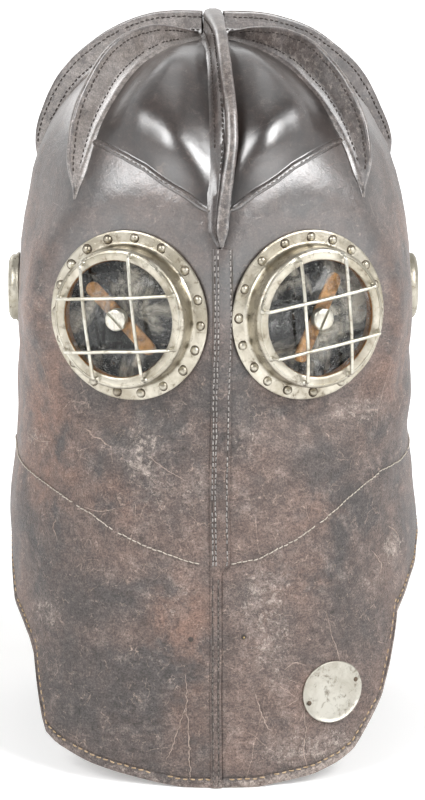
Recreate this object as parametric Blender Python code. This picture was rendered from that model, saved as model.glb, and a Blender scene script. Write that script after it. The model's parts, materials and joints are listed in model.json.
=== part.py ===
"""Leather smoke helmet for a firefighter, built as an assembly of separate pieces.

Metres, +Z up. The wearer faces -Y, and the wearer's left is +X. The helmet stands
on its front and back hems at Z = 0. A point on the leather is given by a column
angle (0 at the front seam, 90 at the wearer's left, 180 at the back seam) and a
latitude (-90 at the floor, 0 at the spring line where the dome begins, 90 at the crown).
"""
from math import acos, asin, atan2, cos, degrees, hypot, pi, radians, sin, sqrt, tan

import bmesh
import bpy
from mathutils import Matrix, Vector

# Leather shell
HALF_WIDTH = 0.1257
FRONT_REACH = 0.145
BACK_REACH = 0.130
SPRING_HEIGHT = 0.300
DOME_RISE = 0.150
LEATHER = 0.004
FLARE_TOP = 0.290
SIDE_FLARE = 0.0155
FRONT_FLARE = 0.012
BACK_FLARE = 0.008
SECTION_POWER = 2.3
DOME_POWER = 2.3
FLARE_POWER = 1.6
SEAM_GAP = 0.0004
SEAT_GAP = 0.0003
OVERRUN = 0.010
TOP_LATITUDE = 88.0

# Hem outline: column angle and share of the shoulder arch's height. The front of the
# hem is worn out of shape, so each side has its own table there.
ARCH_HEIGHT = 0.135
BACK_HEM_SHARES = (
    (92, 1.0), (98, 0.98), (104, 0.92), (112, 0.76), (119, 0.50), (125, 0.29),
    (132, 0.13), (142, 0.03), (152, 0), (180, 0))
LEFT_HEM_SHARES = (
    (0, 0), (9.5, 0), (17, 0.02), (24.5, 0.04), (32, 0.08), (37, 0.12), (44.5, 0.25),
    (49, 0.33), (52.5, 0.45), (56, 0.58), (58.5, 0.68), (66, 0.77), (73.5, 0.84),
    (78, 0.90)) + BACK_HEM_SHARES
RIGHT_HEM_SHARES = (
    (0, 0), (9.5, 0), (17, 0.02), (26.5, 0.05), (35, 0.08), (46.5, 0.13), (51, 0.17),
    (54, 0.28), (56.5, 0.41), (58.5, 0.49), (62, 0.56), (66, 0.61), (72.5, 0.68),
    (78.5, 0.80), (85.5, 0.89)) + BACK_HEM_SHARES

# Brow seam below the front crown gores: column angle and share of its rise
BROW_LOW = 0.352
BROW_HIGH = 0.393
BROW_SHARES = (
    (0, 0), (4.5, 0.10), (10, 0.29), (16.5, 0.46), (23.5, 0.66), (31, 0.80),
    (40, 0.93), (48, 1.0), (180, 1.0))

# Grid of the leather panels, with coarser columns for the soft parts inside
CREST_ANGLE = 48
SIDE_SEAM_ANGLE = 104
COLUMN_ANGLES = (
    0, 2.9, 9.5, 17, 24.5, 32, 40, CREST_ANGLE, 51, 54, 57.5, 62, 69, 77, 85,
    94, SIDE_SEAM_ANGLE, 112, 119, 125, 132, 142, 154, 167, 180)
SOFT_COLUMN_ANGLES = (
    0, 9.5, 17, 24.5, 32, 40, CREST_ANGLE, 57.5, 69, 77, 85, 94, SIDE_SEAM_ANGLE, 119,
    125, 132, 142, 154, 167, 180)
SLOPE_STEP = 0.4
CROWN_ROWS = 5
BROW_ROWS = 3
WALL_ROW_SHARES = (
    0, 0.06, 0.13, 0.20, 0.245, 0.33, 0.43, 0.54, 0.66, 0.78, 0.90, 1)

# Padding of the front crown gores
GORE_PUFF = 0.009
GORE_PUFF_MARGIN = 0.0045
GORE_PUFF_RAMP = 0.024

# Crests: shares of height, width and lean run from the lower tip to the inner end
CREST_WIDTH = 0.005
CREST_FOOT = 0.0012
CREST_FOOT_HEIGHT = 0.0020
CREST_LIFT = 0.0009
CREST_ROUND = 0.0015
CREST_STATIONS = 12
FRONT_CREST_HEIGHT = 0.0230
FRONT_CREST_TIP = 0.357
FRONT_CREST_END_RADIUS = 0.014
FRONT_CREST_SHARES = (0.09, 0.44, 0.72, 0.88, 0.96, 1.0, 0.98, 0.87, 0.70, 0.46, 0.22)
REAR_CREST_HEIGHT = 0.0165
REAR_CREST_TIP = 0.358
REAR_CREST_SHARES = (0.12, 0.42, 0.62, 0.74, 0.79, 0.81, 0.83, 0.86, 0.91, 0.97, 1.0)
CENTRE_CREST_WIDTH = 0.008
CENTRE_CREST_CROWN_WIDTH = 0.0136
CENTRE_CREST_WIDTH_SHARES = (0, 0, 0, 0, 0, 0, 0.02, 0.06, 0.15, 0.55, 1.0)
CENTRE_CREST_LEAN = 0.0055
CENTRE_CREST_LEAN_SHARES = (0, 0.20, 0.65, 1.0, 0.92, 0.60, 0.25, 0.05, 0, 0, 0)
CENTRE_CREST_HEIGHT = 0.018
CENTRE_CREST_TIP = 0.332
CENTRE_CREST_BACK_TIP = 0.350
CENTRE_CREST_FRONT_SHARES = (0.17, 0.20, 0.42, 0.66, 0.82, 0.92, 0.97, 1.0, 1.0, 0.98, 0.96)
CENTRE_CREST_BACK_SHARES = (0.12, 0.40, 0.60, 0.74, 0.83, 0.88, 0.91, 0.93, 0.94, 0.95, 0.96)
CREST_END_GAP = 0.0012

# Seam strips down the front and the back
STRIP_WIDTH = 0.012
STRIP_THICKNESS = 0.0015
STRIP_TOP_GAP = 0.0010
STRIP_LIFT = 0.0005
STRIP_TOP_SPAN = 1

# Windows
WINDOW_SIDE = 0.0540
WINDOW_REACH = 0.1235
WINDOW_HEIGHT = 0.288
WINDOW_YAW = 24.5
WINDOW_FLAT_MARGIN = 0.009
WINDOW_BLEND = 0.024
WINDOW_SEAT_GAP = 0.0005
RIDGE_ROUND = 0.004
FLANGE_RADIUS = 0.0519
FLANGE_THICKNESS = 0.0016
DRUM_RADIUS = 0.0428
DRUM_HEIGHT = 0.0175
DRUM_WALL = 0.0030
LIP_OPENING = 0.0356
LIP_THICKNESS = 0.0015
EDGE_ROUND = 0.0010
BARREL_WALL = 0.0013
BARREL_DEPTH = 0.0075
RIVET_COUNT = 18
RIVET_RADIUS = 0.0026
RIVET_HEIGHT = 0.0020
GLASS_THICKNESS = 0.0025
SPACER_WIDTH = 0.0030
INNER_GLASS_THICKNESS = 0.0015
WIPER_CHAMBER = 0.0078
RETAINER_WIDTH = 0.0040
RING_SEGMENTS = 28
GLASS_SEGMENTS = 16

# Guard wires, hand-set and so different on the two sides: tilt, spacing and offset of
# the upright pair and of the level pair, seen from outside
WIRE_RADIUS = 0.0010
WIRE_SEAT_INSET = 0.0044
WIRE_RISE = 0.0042
WIRE_BULGE = 0.0020
WIRE_BEND = 0.0030
WIRE_STATIONS = 4
UPRIGHT_TILTS = {1: 4, -1: 7}
UPRIGHT_SPACINGS = {1: 0.0300, -1: 0.0320}
UPRIGHT_OFFSETS = {1: -0.0015, -1: 0.0026}
LEVEL_TILTS = {1: 9, -1: 4.5}
LEVEL_SPACINGS = {1: 0.0293, -1: 0.0325}
LEVEL_OFFSETS = {1: -0.0019, -1: -0.0024}

# Wipers: rest angle of the bar, seen from outside, per side
KNOB_RADIUS = 0.00675
KNOB_HEIGHT = 0.0055
KNOB_CHAMFER = 0.0008
SLOT_WIDTH = 0.0014
SLOT_DEPTH = 0.0018
SPINDLE_RADIUS = 0.0018
RUNNING_GAP = 0.0003
WIPER_LENGTH = 0.058
WIPER_ARM_WIDTH = 0.0070
WIPER_ARM_THICKNESS = 0.0012
WIPER_PAD_WIDTH = 0.0090
WIPER_PAD_THICKNESS = 0.0022
WIPER_ANGLES = {1: 64, -1: -43}

# Ear pieces
EAR_HEIGHT = 0.288
EAR_RADIUS = 0.0225
EAR_BASE_THICKNESS = 0.0015
EAR_HOLE_RADIUS = 0.0150
EAR_SPIGOT_WALL = 0.0012
EAR_CAP_RADIUS = 0.0212
EAR_CAP_HEIGHT = 0.0054
EAR_CAP_BEVEL = 0.0026
EAR_CAP_WALL = 0.0012
EAR_CAP_CENTRE_HOLE = 0.0035
EAR_CAP_HOLE_RADIUS = 0.0024
EAR_CAP_HOLE_CIRCLE = 0.0110
EAR_CAP_HOLES = 6
DIAPHRAGM_THICKNESS = 0.0006
DIAPHRAGM_HEIGHT = 0.0018
EAR_SINK = 0.0012
EAR_FLAT_MARGIN = 0.013
EAR_BLEND = 0.016
EAR_SIDE_SHARE = 0.5
EAR_SEGMENTS = 20

# Round bare plate low on the wearer's left
PLATE_ANGLE = 30.5
PLATE_HEIGHT = 0.0555
PLATE_RADIUS = 0.0203
PLATE_THICKNESS = 0.0010
PLATE_PIN_SPACING = 0.034
PLATE_PIN_RADIUS = 0.0014
PLATE_PIN_HEIGHT = 0.0007
PLATE_TILT = 19

# Air tank across the back
TANK_RADIUS = 0.038
TANK_LENGTH = 0.170
TANK_END_DEPTH = 0.014
TANK_WALL = 0.0015
TANK_HEIGHT = 0.075
TANK_STANDOFF = 0.006
TANK_PORT_RADIUS = 0.0060
TANK_SEGMENTS = 18
STRAP_OFFSET = 0.050
STRAP_WIDTH = 0.016
STRAP_THICKNESS = 0.0014
STRAP_FOOT = 0.018
STRAP_RIVET_RADIUS = 0.0028
SADDLE_WIDTH = 0.060
SADDLE_HEIGHT = 0.044

# Outlet valve on the wearer's right end of the tank
VALVE_RADIUS = 0.0090
VALVE_BODY_RADIUS = 0.0072
VALVE_LENGTH = 0.0230
VALVE_NECK = 0.0040
GLAND_RADIUS = 0.0070
GLAND_LENGTH = 0.0060
STEM_RADIUS = 0.0022
STEM_LENGTH = 0.0240
WHEEL_RADIUS = 0.0160
WHEEL_RIM_RADIUS = 0.0024
WHEEL_HUB_RADIUS = 0.0048
WHEEL_HUB_LENGTH = 0.0050
WHEEL_RIM_SIDES = 6
WHEEL_SPOKES = 5
WHEEL_SPOKE_WIDTH = 0.0030
WHEEL_SPOKE_THICKNESS = 0.0020
WHEEL_SPOKE_FOOT = 0.0038
OUTLET_BOSS_RADIUS = 0.0050
OUTLET_BOSS_HEIGHT = 0.0130
OUTLET_BOSS_FOOT = 0.0054

# Outlet pipe and its fitting in the back of the shell
PIPE_RADIUS = 0.0030
PIPE_LEAD = 0.0150
PIPE_BEND_SHARE = 0.45
INLET_SIDE = 0.045
INLET_CLEARANCE = 0.0195
INLET_FLANGE_RADIUS = 0.0120
INLET_FLANGE_THICKNESS = 0.0020
INLET_BODY_RADIUS = 0.0055
INLET_BODY_LENGTH = 0.0090
INLET_BORE = 0.0025
INLET_INNER_LENGTH = 0.0080
INLET_NUT_RADIUS = 0.0095
INLET_NUT_THICKNESS = 0.0035
INLET_HOLE_GAP = 0.0003
INLET_NUT_GAP = 0.0012

# Filler on the wearer's left end of the tank
FILLER_FLANGE_RADIUS = 0.0100
FILLER_FLANGE_THICKNESS = 0.0030
FILLER_RADIUS = 0.0065
FILLER_LENGTH = 0.0110
FILLER_BORE = 0.0030
CAP_WALL = 0.0020
CAP_END = 0.0025
CAP_LENGTH = 0.0095
CAP_RIBS = 12
CAP_RIB_DEPTH = 0.0006
CAP_RIB_SHARE = 0.96

# Pressure gauge above the tank
GAUGE_OFFSET = 0.010
GAUGE_RADIUS = 0.0210
GAUGE_DEPTH = 0.0130
GAUGE_WALL = 0.0016
GAUGE_BACK = 0.0020
GAUGE_STEM_RADIUS = 0.0045
GAUGE_STEM_HEIGHT = 0.0080
DIAL_THICKNESS = 0.0008
DIAL_HEIGHT = 0.0040
GAUGE_GLASS_THICKNESS = 0.0015
GAUGE_GLASS_INSET = 0.0010
POINTER_LENGTH = 0.0140
POINTER_TAIL = 0.0045
POINTER_WIDTH = 0.0016
POINTER_THICKNESS = 0.0006
POINTER_LIFT = 0.0014
POINTER_HUB_RADIUS = 0.0016
POINTER_SPINDLE_RADIUS = 0.0008
POINTER_REST = 225
GAUGE_SEGMENTS = 18

# Soft parts inside
PAD_THICKNESS = 0.014
PAD_GAP = 0.0014
PAD_LOW_ROW = 3
COLLAR_THICKNESS = 0.009
COLLAR_GAP = 0.0006
COLLAR_NECK_WIDTH = 0.064
COLLAR_NECK_DEPTH = 0.070
COLLAR_DROP = 0.012
COLLAR_LOW = 0.138
COLLAR_HIGH = 0.190
COLLAR_SHARES = (
    (0, 0), (10, 0.03), (19, 0.15), (28, 0.37), (38, 0.58), (51, 0.77), (66, 0.90),
    (85, 1.0), (104, 0.93), (130, 0.66), (155, 0.38), (180, 0.30))


def clear_scene():
    for item in list(bpy.data.objects):
        bpy.data.objects.remove(item, do_unlink=True)


def principled(name, colour, roughness, metallic):
    material = bpy.data.materials.new(name)
    material.use_nodes = True
    shader = material.node_tree.nodes["Principled BSDF"]
    shader.inputs["Base Color"].default_value = (*colour, 1.0)
    shader.inputs["Roughness"].default_value = roughness
    shader.inputs["Metallic"].default_value = metallic
    material.diffuse_color = (*colour, 1.0)
    return material


# Form of the leather shell

def smooth_step(value, low, high):
    share = min(max((value - low) / (high - low), 0), 1)
    return share * share * (3 - 2 * share)


def share_at(table, angle):
    """Straight-line reading of a table of angles and shares."""
    angle = abs(angle)
    for (low, low_share), (high, high_share) in zip(table, table[1:]):
        if angle <= high:
            return low_share + (high_share - low_share) * (angle - low) / (high - low)
    return table[-1][1]


def height_at(latitude):
    if latitude <= 0:
        return SPRING_HEIGHT * (1 + latitude / 90)
    return SPRING_HEIGHT + DOME_RISE * sin(radians(latitude)) ** (2 / DOME_POWER)


def latitude_at(height):
    if height <= SPRING_HEIGHT:
        return 90 * (height / SPRING_HEIGHT - 1)
    return degrees(asin(((height - SPRING_HEIGHT) / DOME_RISE) ** (DOME_POWER / 2)))


def shell_reach(latitude, backward):
    """Half width and half depth of the shell at a latitude."""
    shrink = cos(radians(max(latitude, 0))) ** (2 / DOME_POWER)
    flare = max(0, 1 - height_at(latitude) / FLARE_TOP) ** FLARE_POWER
    width = HALF_WIDTH * shrink + SIDE_FLARE * flare
    if backward:
        return width, BACK_REACH * shrink + BACK_FLARE * flare
    return width, FRONT_REACH * shrink + FRONT_FLARE * flare


def shell_point(angle, latitude):
    """Point on the outer face of the leather, flat under the windows and ear pieces."""
    backward = abs(angle) > 90
    width, depth = shell_reach(latitude, backward)
    side = sin(radians(angle))
    x = width * side
    y = depth * max(0, 1 - abs(side) ** SECTION_POWER) ** (1 / SECTION_POWER)
    z = height_at(latitude)
    if not backward:
        y = -y
        across = (abs(x) - WINDOW_SIDE) / cos(radians(WINDOW_YAW))
        flat_radius = FLANGE_RADIUS + WINDOW_FLAT_MARGIN
        off_axis = hypot(across, z - WINDOW_HEIGHT)
        flat = 1 - smooth_step(off_axis, flat_radius, flat_radius + WINDOW_BLEND)
        plane = (hypot(x, RIDGE_ROUND) - WINDOW_SIDE) * tan(radians(WINDOW_YAW)) - WINDOW_REACH
        y += flat * (plane - y)
    ear_radius = EAR_RADIUS + EAR_FLAT_MARGIN
    off_ear = hypot(y, z - EAR_HEIGHT)
    ear_flat = 1 - smooth_step(off_ear, ear_radius, ear_radius + EAR_BLEND)
    ear_side = (HALF_WIDTH - EAR_SINK) * (1 if x > 0 else -1)
    if abs(side) > EAR_SIDE_SHARE:
        x += ear_flat * (ear_side - x)
    return Vector((x, y, z))


def shell_normal(angle, latitude):
    step = SLOPE_STEP
    along = shell_point(angle + step, latitude) - shell_point(angle - step, latitude)
    climb = shell_point(angle, latitude + step) - shell_point(angle, latitude - step)
    return along.cross(climb).normalized()


def angle_at_side(side, latitude, backward=False):
    """Column angle where the shell lies at a given distance from the middle plane."""
    width = shell_reach(latitude, backward)[0]
    angle = degrees(asin(max(-1, min(1, side / width))))
    return 180 - angle if backward else angle


def wall_point(side, height, backward, lift):
    """Point over the shell's wall at a given side distance and height."""
    latitude = latitude_at(height)
    angle = angle_at_side(side, latitude, backward)
    return shell_point(angle, latitude) + shell_normal(angle, latitude) * lift


def hem_height(angle):
    table = LEFT_HEM_SHARES if angle >= 0 else RIGHT_HEM_SHARES
    return ARCH_HEIGHT * share_at(table, angle)


def collar_height(angle):
    return COLLAR_LOW + (COLLAR_HIGH - COLLAR_LOW) * share_at(COLLAR_SHARES, angle)


def brow_height(angle):
    return BROW_LOW + (BROW_HIGH - BROW_LOW) * share_at(BROW_SHARES, angle)


def row_latitudes(angle):
    """Latitudes of the grid's rows in one column, from the crown down to the hem."""
    brow = latitude_at(brow_height(angle))
    rows = [TOP_LATITUDE + (brow - TOP_LATITUDE) * row / CROWN_ROWS
            for row in range(CROWN_ROWS)]
    rows += [brow * (1 - row / BROW_ROWS) for row in range(BROW_ROWS)]
    hem = latitude_at(hem_height(angle))
    rows += [hem * share for share in WALL_ROW_SHARES]
    return rows


# Mesh building

def new_object(name, vertices, faces, material, smooth_angle=40):
    mesh = bpy.data.meshes.new(name)
    mesh.from_pydata([tuple(point) for point in vertices], [], faces)
    tidy = bmesh.new()
    tidy.from_mesh(mesh)
    bmesh.ops.recalc_face_normals(tidy, faces=tidy.faces)
    tidy.to_mesh(mesh)
    tidy.free()
    mesh.materials.append(material)
    mesh.shade_smooth()
    mesh.set_sharp_from_angle(angle=radians(smooth_angle))
    item = bpy.data.objects.new(name, mesh)
    bpy.context.scene.collection.objects.link(item)
    return item


def merged(parts):
    """One vertex and face list from several."""
    vertices, faces = [], []
    for part_vertices, part_faces in parts:
        start = len(vertices)
        vertices += part_vertices
        faces += [[start + index for index in face] for face in part_faces]
    return vertices, faces


def loft(sections, closed=False):
    """Skin over equal rings of points, with flat ends unless the path is closed."""
    count = len(sections[0])
    vertices = [point for section in sections for point in section]
    faces = []
    spans = len(sections) if closed else len(sections) - 1
    for span in range(spans):
        near = span * count
        far = (span + 1) % len(sections) * count
        for index in range(count):
            after = (index + 1) % count
            faces.append([near + index, near + after, far + after, far + index])
    if not closed:
        faces.append(list(range(count - 1, -1, -1)))
        faces.append(list(range(len(vertices) - count, len(vertices))))
    return vertices, faces


def revolve(profile, segments):
    """Solid turned about local Z. A profile point at radius 0 becomes one vertex."""
    vertices, rings = [], []
    for radius, level in profile:
        if radius == 0:
            rings.append([len(vertices)] * segments)
            vertices.append(Vector((0, 0, level)))
            continue
        rings.append(list(range(len(vertices), len(vertices) + segments)))
        for step in range(segments):
            turn = 2 * pi * step / segments
            vertices.append(Vector((radius * cos(turn), radius * sin(turn), level)))
    faces = []
    for near, far in zip(rings, rings[1:] + rings[:1]):
        for step in range(segments):
            after = (step + 1) % segments
            face = []
            for index in (near[step], near[after], far[after], far[step]):
                if index not in face:
                    face.append(index)
            if len(face) > 2:
                faces.append(face)
    return vertices, faces


def hexagon_nut(bore, corner_radius, low, high, segments=12):
    """Hexagonal nut about local Z with a round bore."""
    sections = []
    for step in range(segments):
        turn = 2 * pi * step / segments
        within = turn % (pi / 3) - pi / 6
        edge = corner_radius * cos(pi / 6) / cos(within)
        sections.append([Vector((radius * cos(turn), radius * sin(turn), level))
                         for radius, level in ((bore, low), (edge, low), (edge, high),
                                               (bore, high))])
    return loft(sections, closed=True)


def extrude_outline(outline, low, high):
    """Prism over an outline in local X and Y."""
    return loft([[Vector((x, y, level)) for x, y in outline] for level in (low, high)])


def tube(path, radius, sides):
    """Round tube along a list of points, with its sections square to the path."""
    sections = []
    across = None
    for index, point in enumerate(path):
        ahead = path[min(index + 1, len(path) - 1)] - path[max(index - 1, 0)]
        ahead.normalize()
        if across is None:
            across = ahead.orthogonal().normalized()
        across = (across - ahead * across.dot(ahead)).normalized()
        upward = ahead.cross(across)
        sections.append([
            point + across * (radius * cos(2 * pi * side / sides))
            + upward * (radius * sin(2 * pi * side / sides)) for side in range(sides)])
    return loft(sections)


def smooth_route(points, steps):
    """Catmull-Rom curve through hand-chosen points."""
    ends = [points[0] * 2 - points[1]] + points + [points[-1] * 2 - points[-2]]
    route = []
    for before, start, stop, after in zip(ends, ends[1:], ends[2:], ends[3:]):
        for step in range(steps):
            t = step / steps
            route.append(0.5 * (
                start * 2 + (stop - before) * t
                + (before * 2 - start * 5 + stop * 4 - after) * t ** 2
                + (start * 3 - before - stop * 3 + after) * t ** 3))
    route.append(points[-1].copy())
    return route


def stadium(length, width, steps=5):
    """Outline of a bar with round ends, centred on the origin."""
    outline = []
    for end in (1, -1):
        centre = end * (length - width) / 2
        for step in range(steps + 1):
            turn = pi * (step / steps - 0.5) + (0 if end > 0 else pi)
            outline.append((centre + width / 2 * cos(turn), width / 2 * sin(turn)))
    return outline


def moved(part, matrix):
    vertices, faces = part
    return [matrix @ point for point in vertices], faces


def hidden_helper(item):
    item.hide_render = True
    item.display_type = "WIRE"
    return item


def boolean(item, helper, operation):
    hidden_helper(helper)
    helper.parent = item
    modifier = item.modifiers.new(operation.title(), "BOOLEAN")
    modifier.operation = operation
    modifier.solver = "EXACT"
    modifier.object = helper


def place(item, frame):
    """Put an object on the assembly, in a frame of its own."""
    item.parent = assembly
    item.matrix_basis = frame
    return item


def axis_frame(origin, axis, upright=Vector((0, 0, 1))):
    """Frame with local Z along an axis and local Y as near upright as it can be."""
    axis = Vector(axis).normalized()
    across = upright.cross(axis).normalized()
    level = axis.cross(across)
    frame = Matrix((across, level, axis)).transposed().to_4x4()
    frame.translation = origin
    return frame


# Leather panels

def panel_grid(cells, puff, side):
    """Closed sheet of leather over the chosen grid cells of one side.

    cells says whether the cell at a column and row belongs to the panel, and puff
    gives its padding. Edges along seams draw back by half the seam gap. The points
    are worked out on the +X half and mirrored for the other side.
    """
    columns = len(COLUMN_ANGLES)
    rows = len(row_latitudes(0))
    latitudes = [row_latitudes(angle * side) for angle in COLUMN_ANGLES]

    def inside(column, row):
        return 0 <= column < columns - 1 and 0 <= row < rows - 1 and cells(column, row)

    outer, inner, index = [], [], {}
    for column in range(columns):
        for row in range(rows):
            left = inside(column - 1, row - 1) or inside(column - 1, row)
            right = inside(column, row - 1) or inside(column, row)
            if not (left or right):
                continue
            above = inside(column - 1, row - 1) or inside(column, row - 1)
            below = inside(column - 1, row) or inside(column, row)
            angle = COLUMN_ANGLES[column]
            latitude = latitudes[column][row]
            step = SLOPE_STEP / 2
            if left != right:
                near = shell_point(angle - step, latitude)
                spread = (shell_point(angle + step, latitude) - near).length / (2 * step)
                angle += (SEAM_GAP / 2 / spread) * (1 if right else -1)
            if above != below and row < rows - 1:
                near = shell_point(angle, latitude - step)
                spread = (shell_point(angle, latitude + step) - near).length / (2 * step)
                latitude += (SEAM_GAP / 2 / spread) * (1 if above else -1)
            normal = shell_normal(angle, latitude)
            face = shell_point(angle, latitude) + normal * puff(angle, latitude)
            back = face - normal * LEATHER
            if row == rows - 1:
                back.z = face.z
            index[column, row] = len(outer)
            outer.append(face)
            inner.append(back)
    shift = len(outer)
    faces = []
    for column in range(columns - 1):
        for row in range(rows - 1):
            if not inside(column, row):
                continue
            corners = [(column, row), (column, row + 1), (column + 1, row + 1),
                       (column + 1, row)]
            quad = [index[corner] for corner in corners]
            faces.append(quad)
            faces.append([shift + corner for corner in reversed(quad)])
            beside = ((column - 1, row), (column, row + 1), (column + 1, row),
                      (column, row - 1))
            for edge, neighbour in enumerate(beside):
                if not inside(*neighbour):
                    start, stop = quad[edge], quad[(edge + 1) % 4]
                    faces.append([stop, start, shift + start, shift + stop])
    points = [Vector((point.x * side, point.y, point.z)) for point in outer + inner]
    return points, faces


def no_puff(angle, latitude):
    return 0


def gore_puff(angle, latitude):
    """Padding of a front crown gore, nil along its four edges."""
    here = shell_point(angle, latitude)
    middle = shell_point(0, latitude)
    crest = shell_point(CREST_ANGLE, latitude)
    brow = shell_point(angle, latitude_at(brow_height(angle)))
    top = shell_point(angle, TOP_LATITUDE)
    puff = GORE_PUFF
    for edge in (middle, crest, brow, top):
        distance = (here - edge).length
        puff *= smooth_step(distance, GORE_PUFF_MARGIN, GORE_PUFF_MARGIN + GORE_PUFF_RAMP)
    return puff


def on_both_sides(name, part, material):
    """The wearer's left piece and its mirror image on the right."""
    vertices, faces = part
    mirror = [Vector((-point.x, point.y, point.z)) for point in vertices]
    place(new_object(name + "_left", vertices, faces, material), Matrix())
    place(new_object(name + "_right", mirror, faces, material), Matrix())


def build_panels():
    crest_column = COLUMN_ANGLES.index(CREST_ANGLE)
    seam_column = COLUMN_ANGLES.index(SIDE_SEAM_ANGLE)

    def in_gore(column, row):
        return column < crest_column and row < CROWN_ROWS

    def in_face(column, row):
        return column < seam_column and not in_gore(column, row)

    def in_back(column, row):
        return column >= seam_column

    for side in (1, -1):
        word = "left" if side > 0 else "right"
        gore = panel_grid(in_gore, gore_puff, side)
        place(new_object("front_crown_gore_" + word, *gore, leather), Matrix())
        sheet = panel_grid(in_face, no_puff, side)
        face = place(new_object("face_panel_" + word, *sheet, leather), Matrix())
        sheet = panel_grid(in_back, no_puff, side)
        back = place(new_object("back_panel_" + word, *sheet, leather), Matrix())
        hole = revolve_cutter(BARREL_RADIUS + SEAT_GAP, OVERRUN, RING_SEGMENTS)
        cutter = new_object("window_hole_" + word, *moved(hole, window_frame(side)), leather)
        boolean(face, cutter, "DIFFERENCE")
        hole = revolve_cutter(EAR_HOLE_RADIUS, OVERRUN, EAR_SEGMENTS)
        cutter = new_object("ear_hole_" + word, *moved(hole, ear_frame(side)), leather)
        boolean(face, cutter, "DIFFERENCE")
        if side < 0:
            hole = revolve_cutter(INLET_BODY_RADIUS + INLET_HOLE_GAP, OVERRUN, 16)
            cutter = new_object("inlet_hole", *moved(hole, inlet_frame()), leather)
            boolean(back, cutter, "DIFFERENCE")


def revolve_cutter(radius, reach, segments):
    return revolve([(0, -reach), (radius, -reach), (radius, reach), (0, reach)], segments)


# Crests and seam strips

def share_along(table, share):
    """Straight-line reading of an evenly spaced table."""
    position = share * (len(table) - 1)
    lower = min(int(position), len(table) - 2)
    return table[lower] + (table[lower + 1] - table[lower]) * (position - lower)


def crest_section(point, normal, across, width, height, lean):
    """Ring of points across a crest with a flared foot and a rounded top edge."""
    half = width / 2
    edge = min(CREST_ROUND, height / 3)
    foot = min(CREST_FOOT_HEIGHT, height / 2)
    offsets = ((-half - CREST_FOOT, 0), (half + CREST_FOOT, 0), (half, foot),
               (half + lean, height - edge), (half - edge + lean, height),
               (edge - half + lean, height), (lean - half, height - edge), (-half, foot))
    return [point + across * side + normal * (CREST_LIFT + rise) for side, rise in offsets]


def crest_stations(angle, low, high, shares, height, widths, lean=0):
    """Sections of a crest along one column, from its lower tip to its inner end."""
    sections = []
    for step in range(CREST_STATIONS):
        share = step / (CREST_STATIONS - 1)
        latitude = low + (high - low) * share
        normal = shell_normal(angle, latitude)
        ahead = (shell_point(angle, latitude + SLOPE_STEP)
                 - shell_point(angle, latitude - SLOPE_STEP))
        across = ahead.cross(normal).normalized()
        width = widths[0] + (widths[1] - widths[0]) * share_along(CENTRE_CREST_WIDTH_SHARES,
                                                                  share)
        sections.append(crest_section(
            shell_point(angle, latitude), normal, across, width,
            height * share_along(shares, share),
            lean * share_along(CENTRE_CREST_LEAN_SHARES, share)))
    return sections


def end_latitude(angle, radius):
    """Latitude where the crown's column is at a distance from the middle plane."""
    share = radius / (HALF_WIDTH * sin(radians(angle)))
    return degrees(acos(share ** (DOME_POWER / 2)))


def build_crests():
    thin = (CREST_WIDTH, CREST_WIDTH)
    wide = (CENTRE_CREST_WIDTH, CENTRE_CREST_CROWN_WIDTH)
    low = latitude_at(FRONT_CREST_TIP)
    high = end_latitude(CREST_ANGLE, FRONT_CREST_END_RADIUS * sin(radians(CREST_ANGLE)))
    sections = crest_stations(CREST_ANGLE, low, high, FRONT_CREST_SHARES,
                              FRONT_CREST_HEIGHT, thin)
    on_both_sides("front_crest", loft(sections), leather)
    inner_end = CENTRE_CREST_CROWN_WIDTH / 2 + CREST_FOOT + CREST_END_GAP
    low = latitude_at(REAR_CREST_TIP)
    high = end_latitude(SIDE_SEAM_ANGLE, inner_end)
    sections = crest_stations(SIDE_SEAM_ANGLE, low, high, REAR_CREST_SHARES,
                              REAR_CREST_HEIGHT, thin)
    on_both_sides("rear_crest", loft(sections), leather)
    front = crest_stations(0, latitude_at(CENTRE_CREST_TIP), TOP_LATITUDE,
                           CENTRE_CREST_FRONT_SHARES, CENTRE_CREST_HEIGHT, wide,
                           CENTRE_CREST_LEAN)
    back = crest_stations(180, latitude_at(CENTRE_CREST_BACK_TIP), TOP_LATITUDE,
                          CENTRE_CREST_BACK_SHARES, CENTRE_CREST_HEIGHT, wide)
    turned = [[ring[index] for index in (1, 0, 7, 6, 5, 4, 3, 2)] for ring in reversed(back)]
    place(new_object("centre_crest", *loft(front + turned), leather), Matrix())


def strip(top, backward):
    """Flat leather strip over a seam in the middle plane, down to the hem."""
    sections = []
    half = STRIP_WIDTH / 2
    highest = latitude_at(top)
    below = [latitude for latitude in row_latitudes(180 if backward else 0)
             if latitude < highest - STRIP_TOP_SPAN]
    for latitude in [highest] + below:
        height = max(height_at(latitude), SEAT_GAP)
        ring = []
        for side, lift in ((-half, STRIP_LIFT), (0, STRIP_LIFT), (half, STRIP_LIFT),
                           (half, STRIP_LIFT + STRIP_THICKNESS),
                           (0, STRIP_LIFT + STRIP_THICKNESS),
                           (-half, STRIP_LIFT + STRIP_THICKNESS)):
            point = wall_point(side, height, backward, lift)
            point.z = height
            ring.append(point)
        sections.append(ring)
    return loft(sections)


def build_strips():
    top = CENTRE_CREST_TIP - STRIP_TOP_GAP
    place(new_object("front_seam_strip", *strip(top, False), leather), Matrix())
    top = CENTRE_CREST_BACK_TIP - STRIP_TOP_GAP
    place(new_object("back_seam_strip", *strip(top, True), leather), Matrix())


# Windows

BARREL_RADIUS = DRUM_RADIUS - DRUM_WALL + BARREL_WALL
GLASS_RADIUS = DRUM_RADIUS - DRUM_WALL - SEAT_GAP
GLASS_FRONT = DRUM_HEIGHT - LIP_THICKNESS - SEAT_GAP
GLASS_BACK = GLASS_FRONT - GLASS_THICKNESS
CHAMBER_BACK = GLASS_BACK - SEAT_GAP - WIPER_CHAMBER


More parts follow.
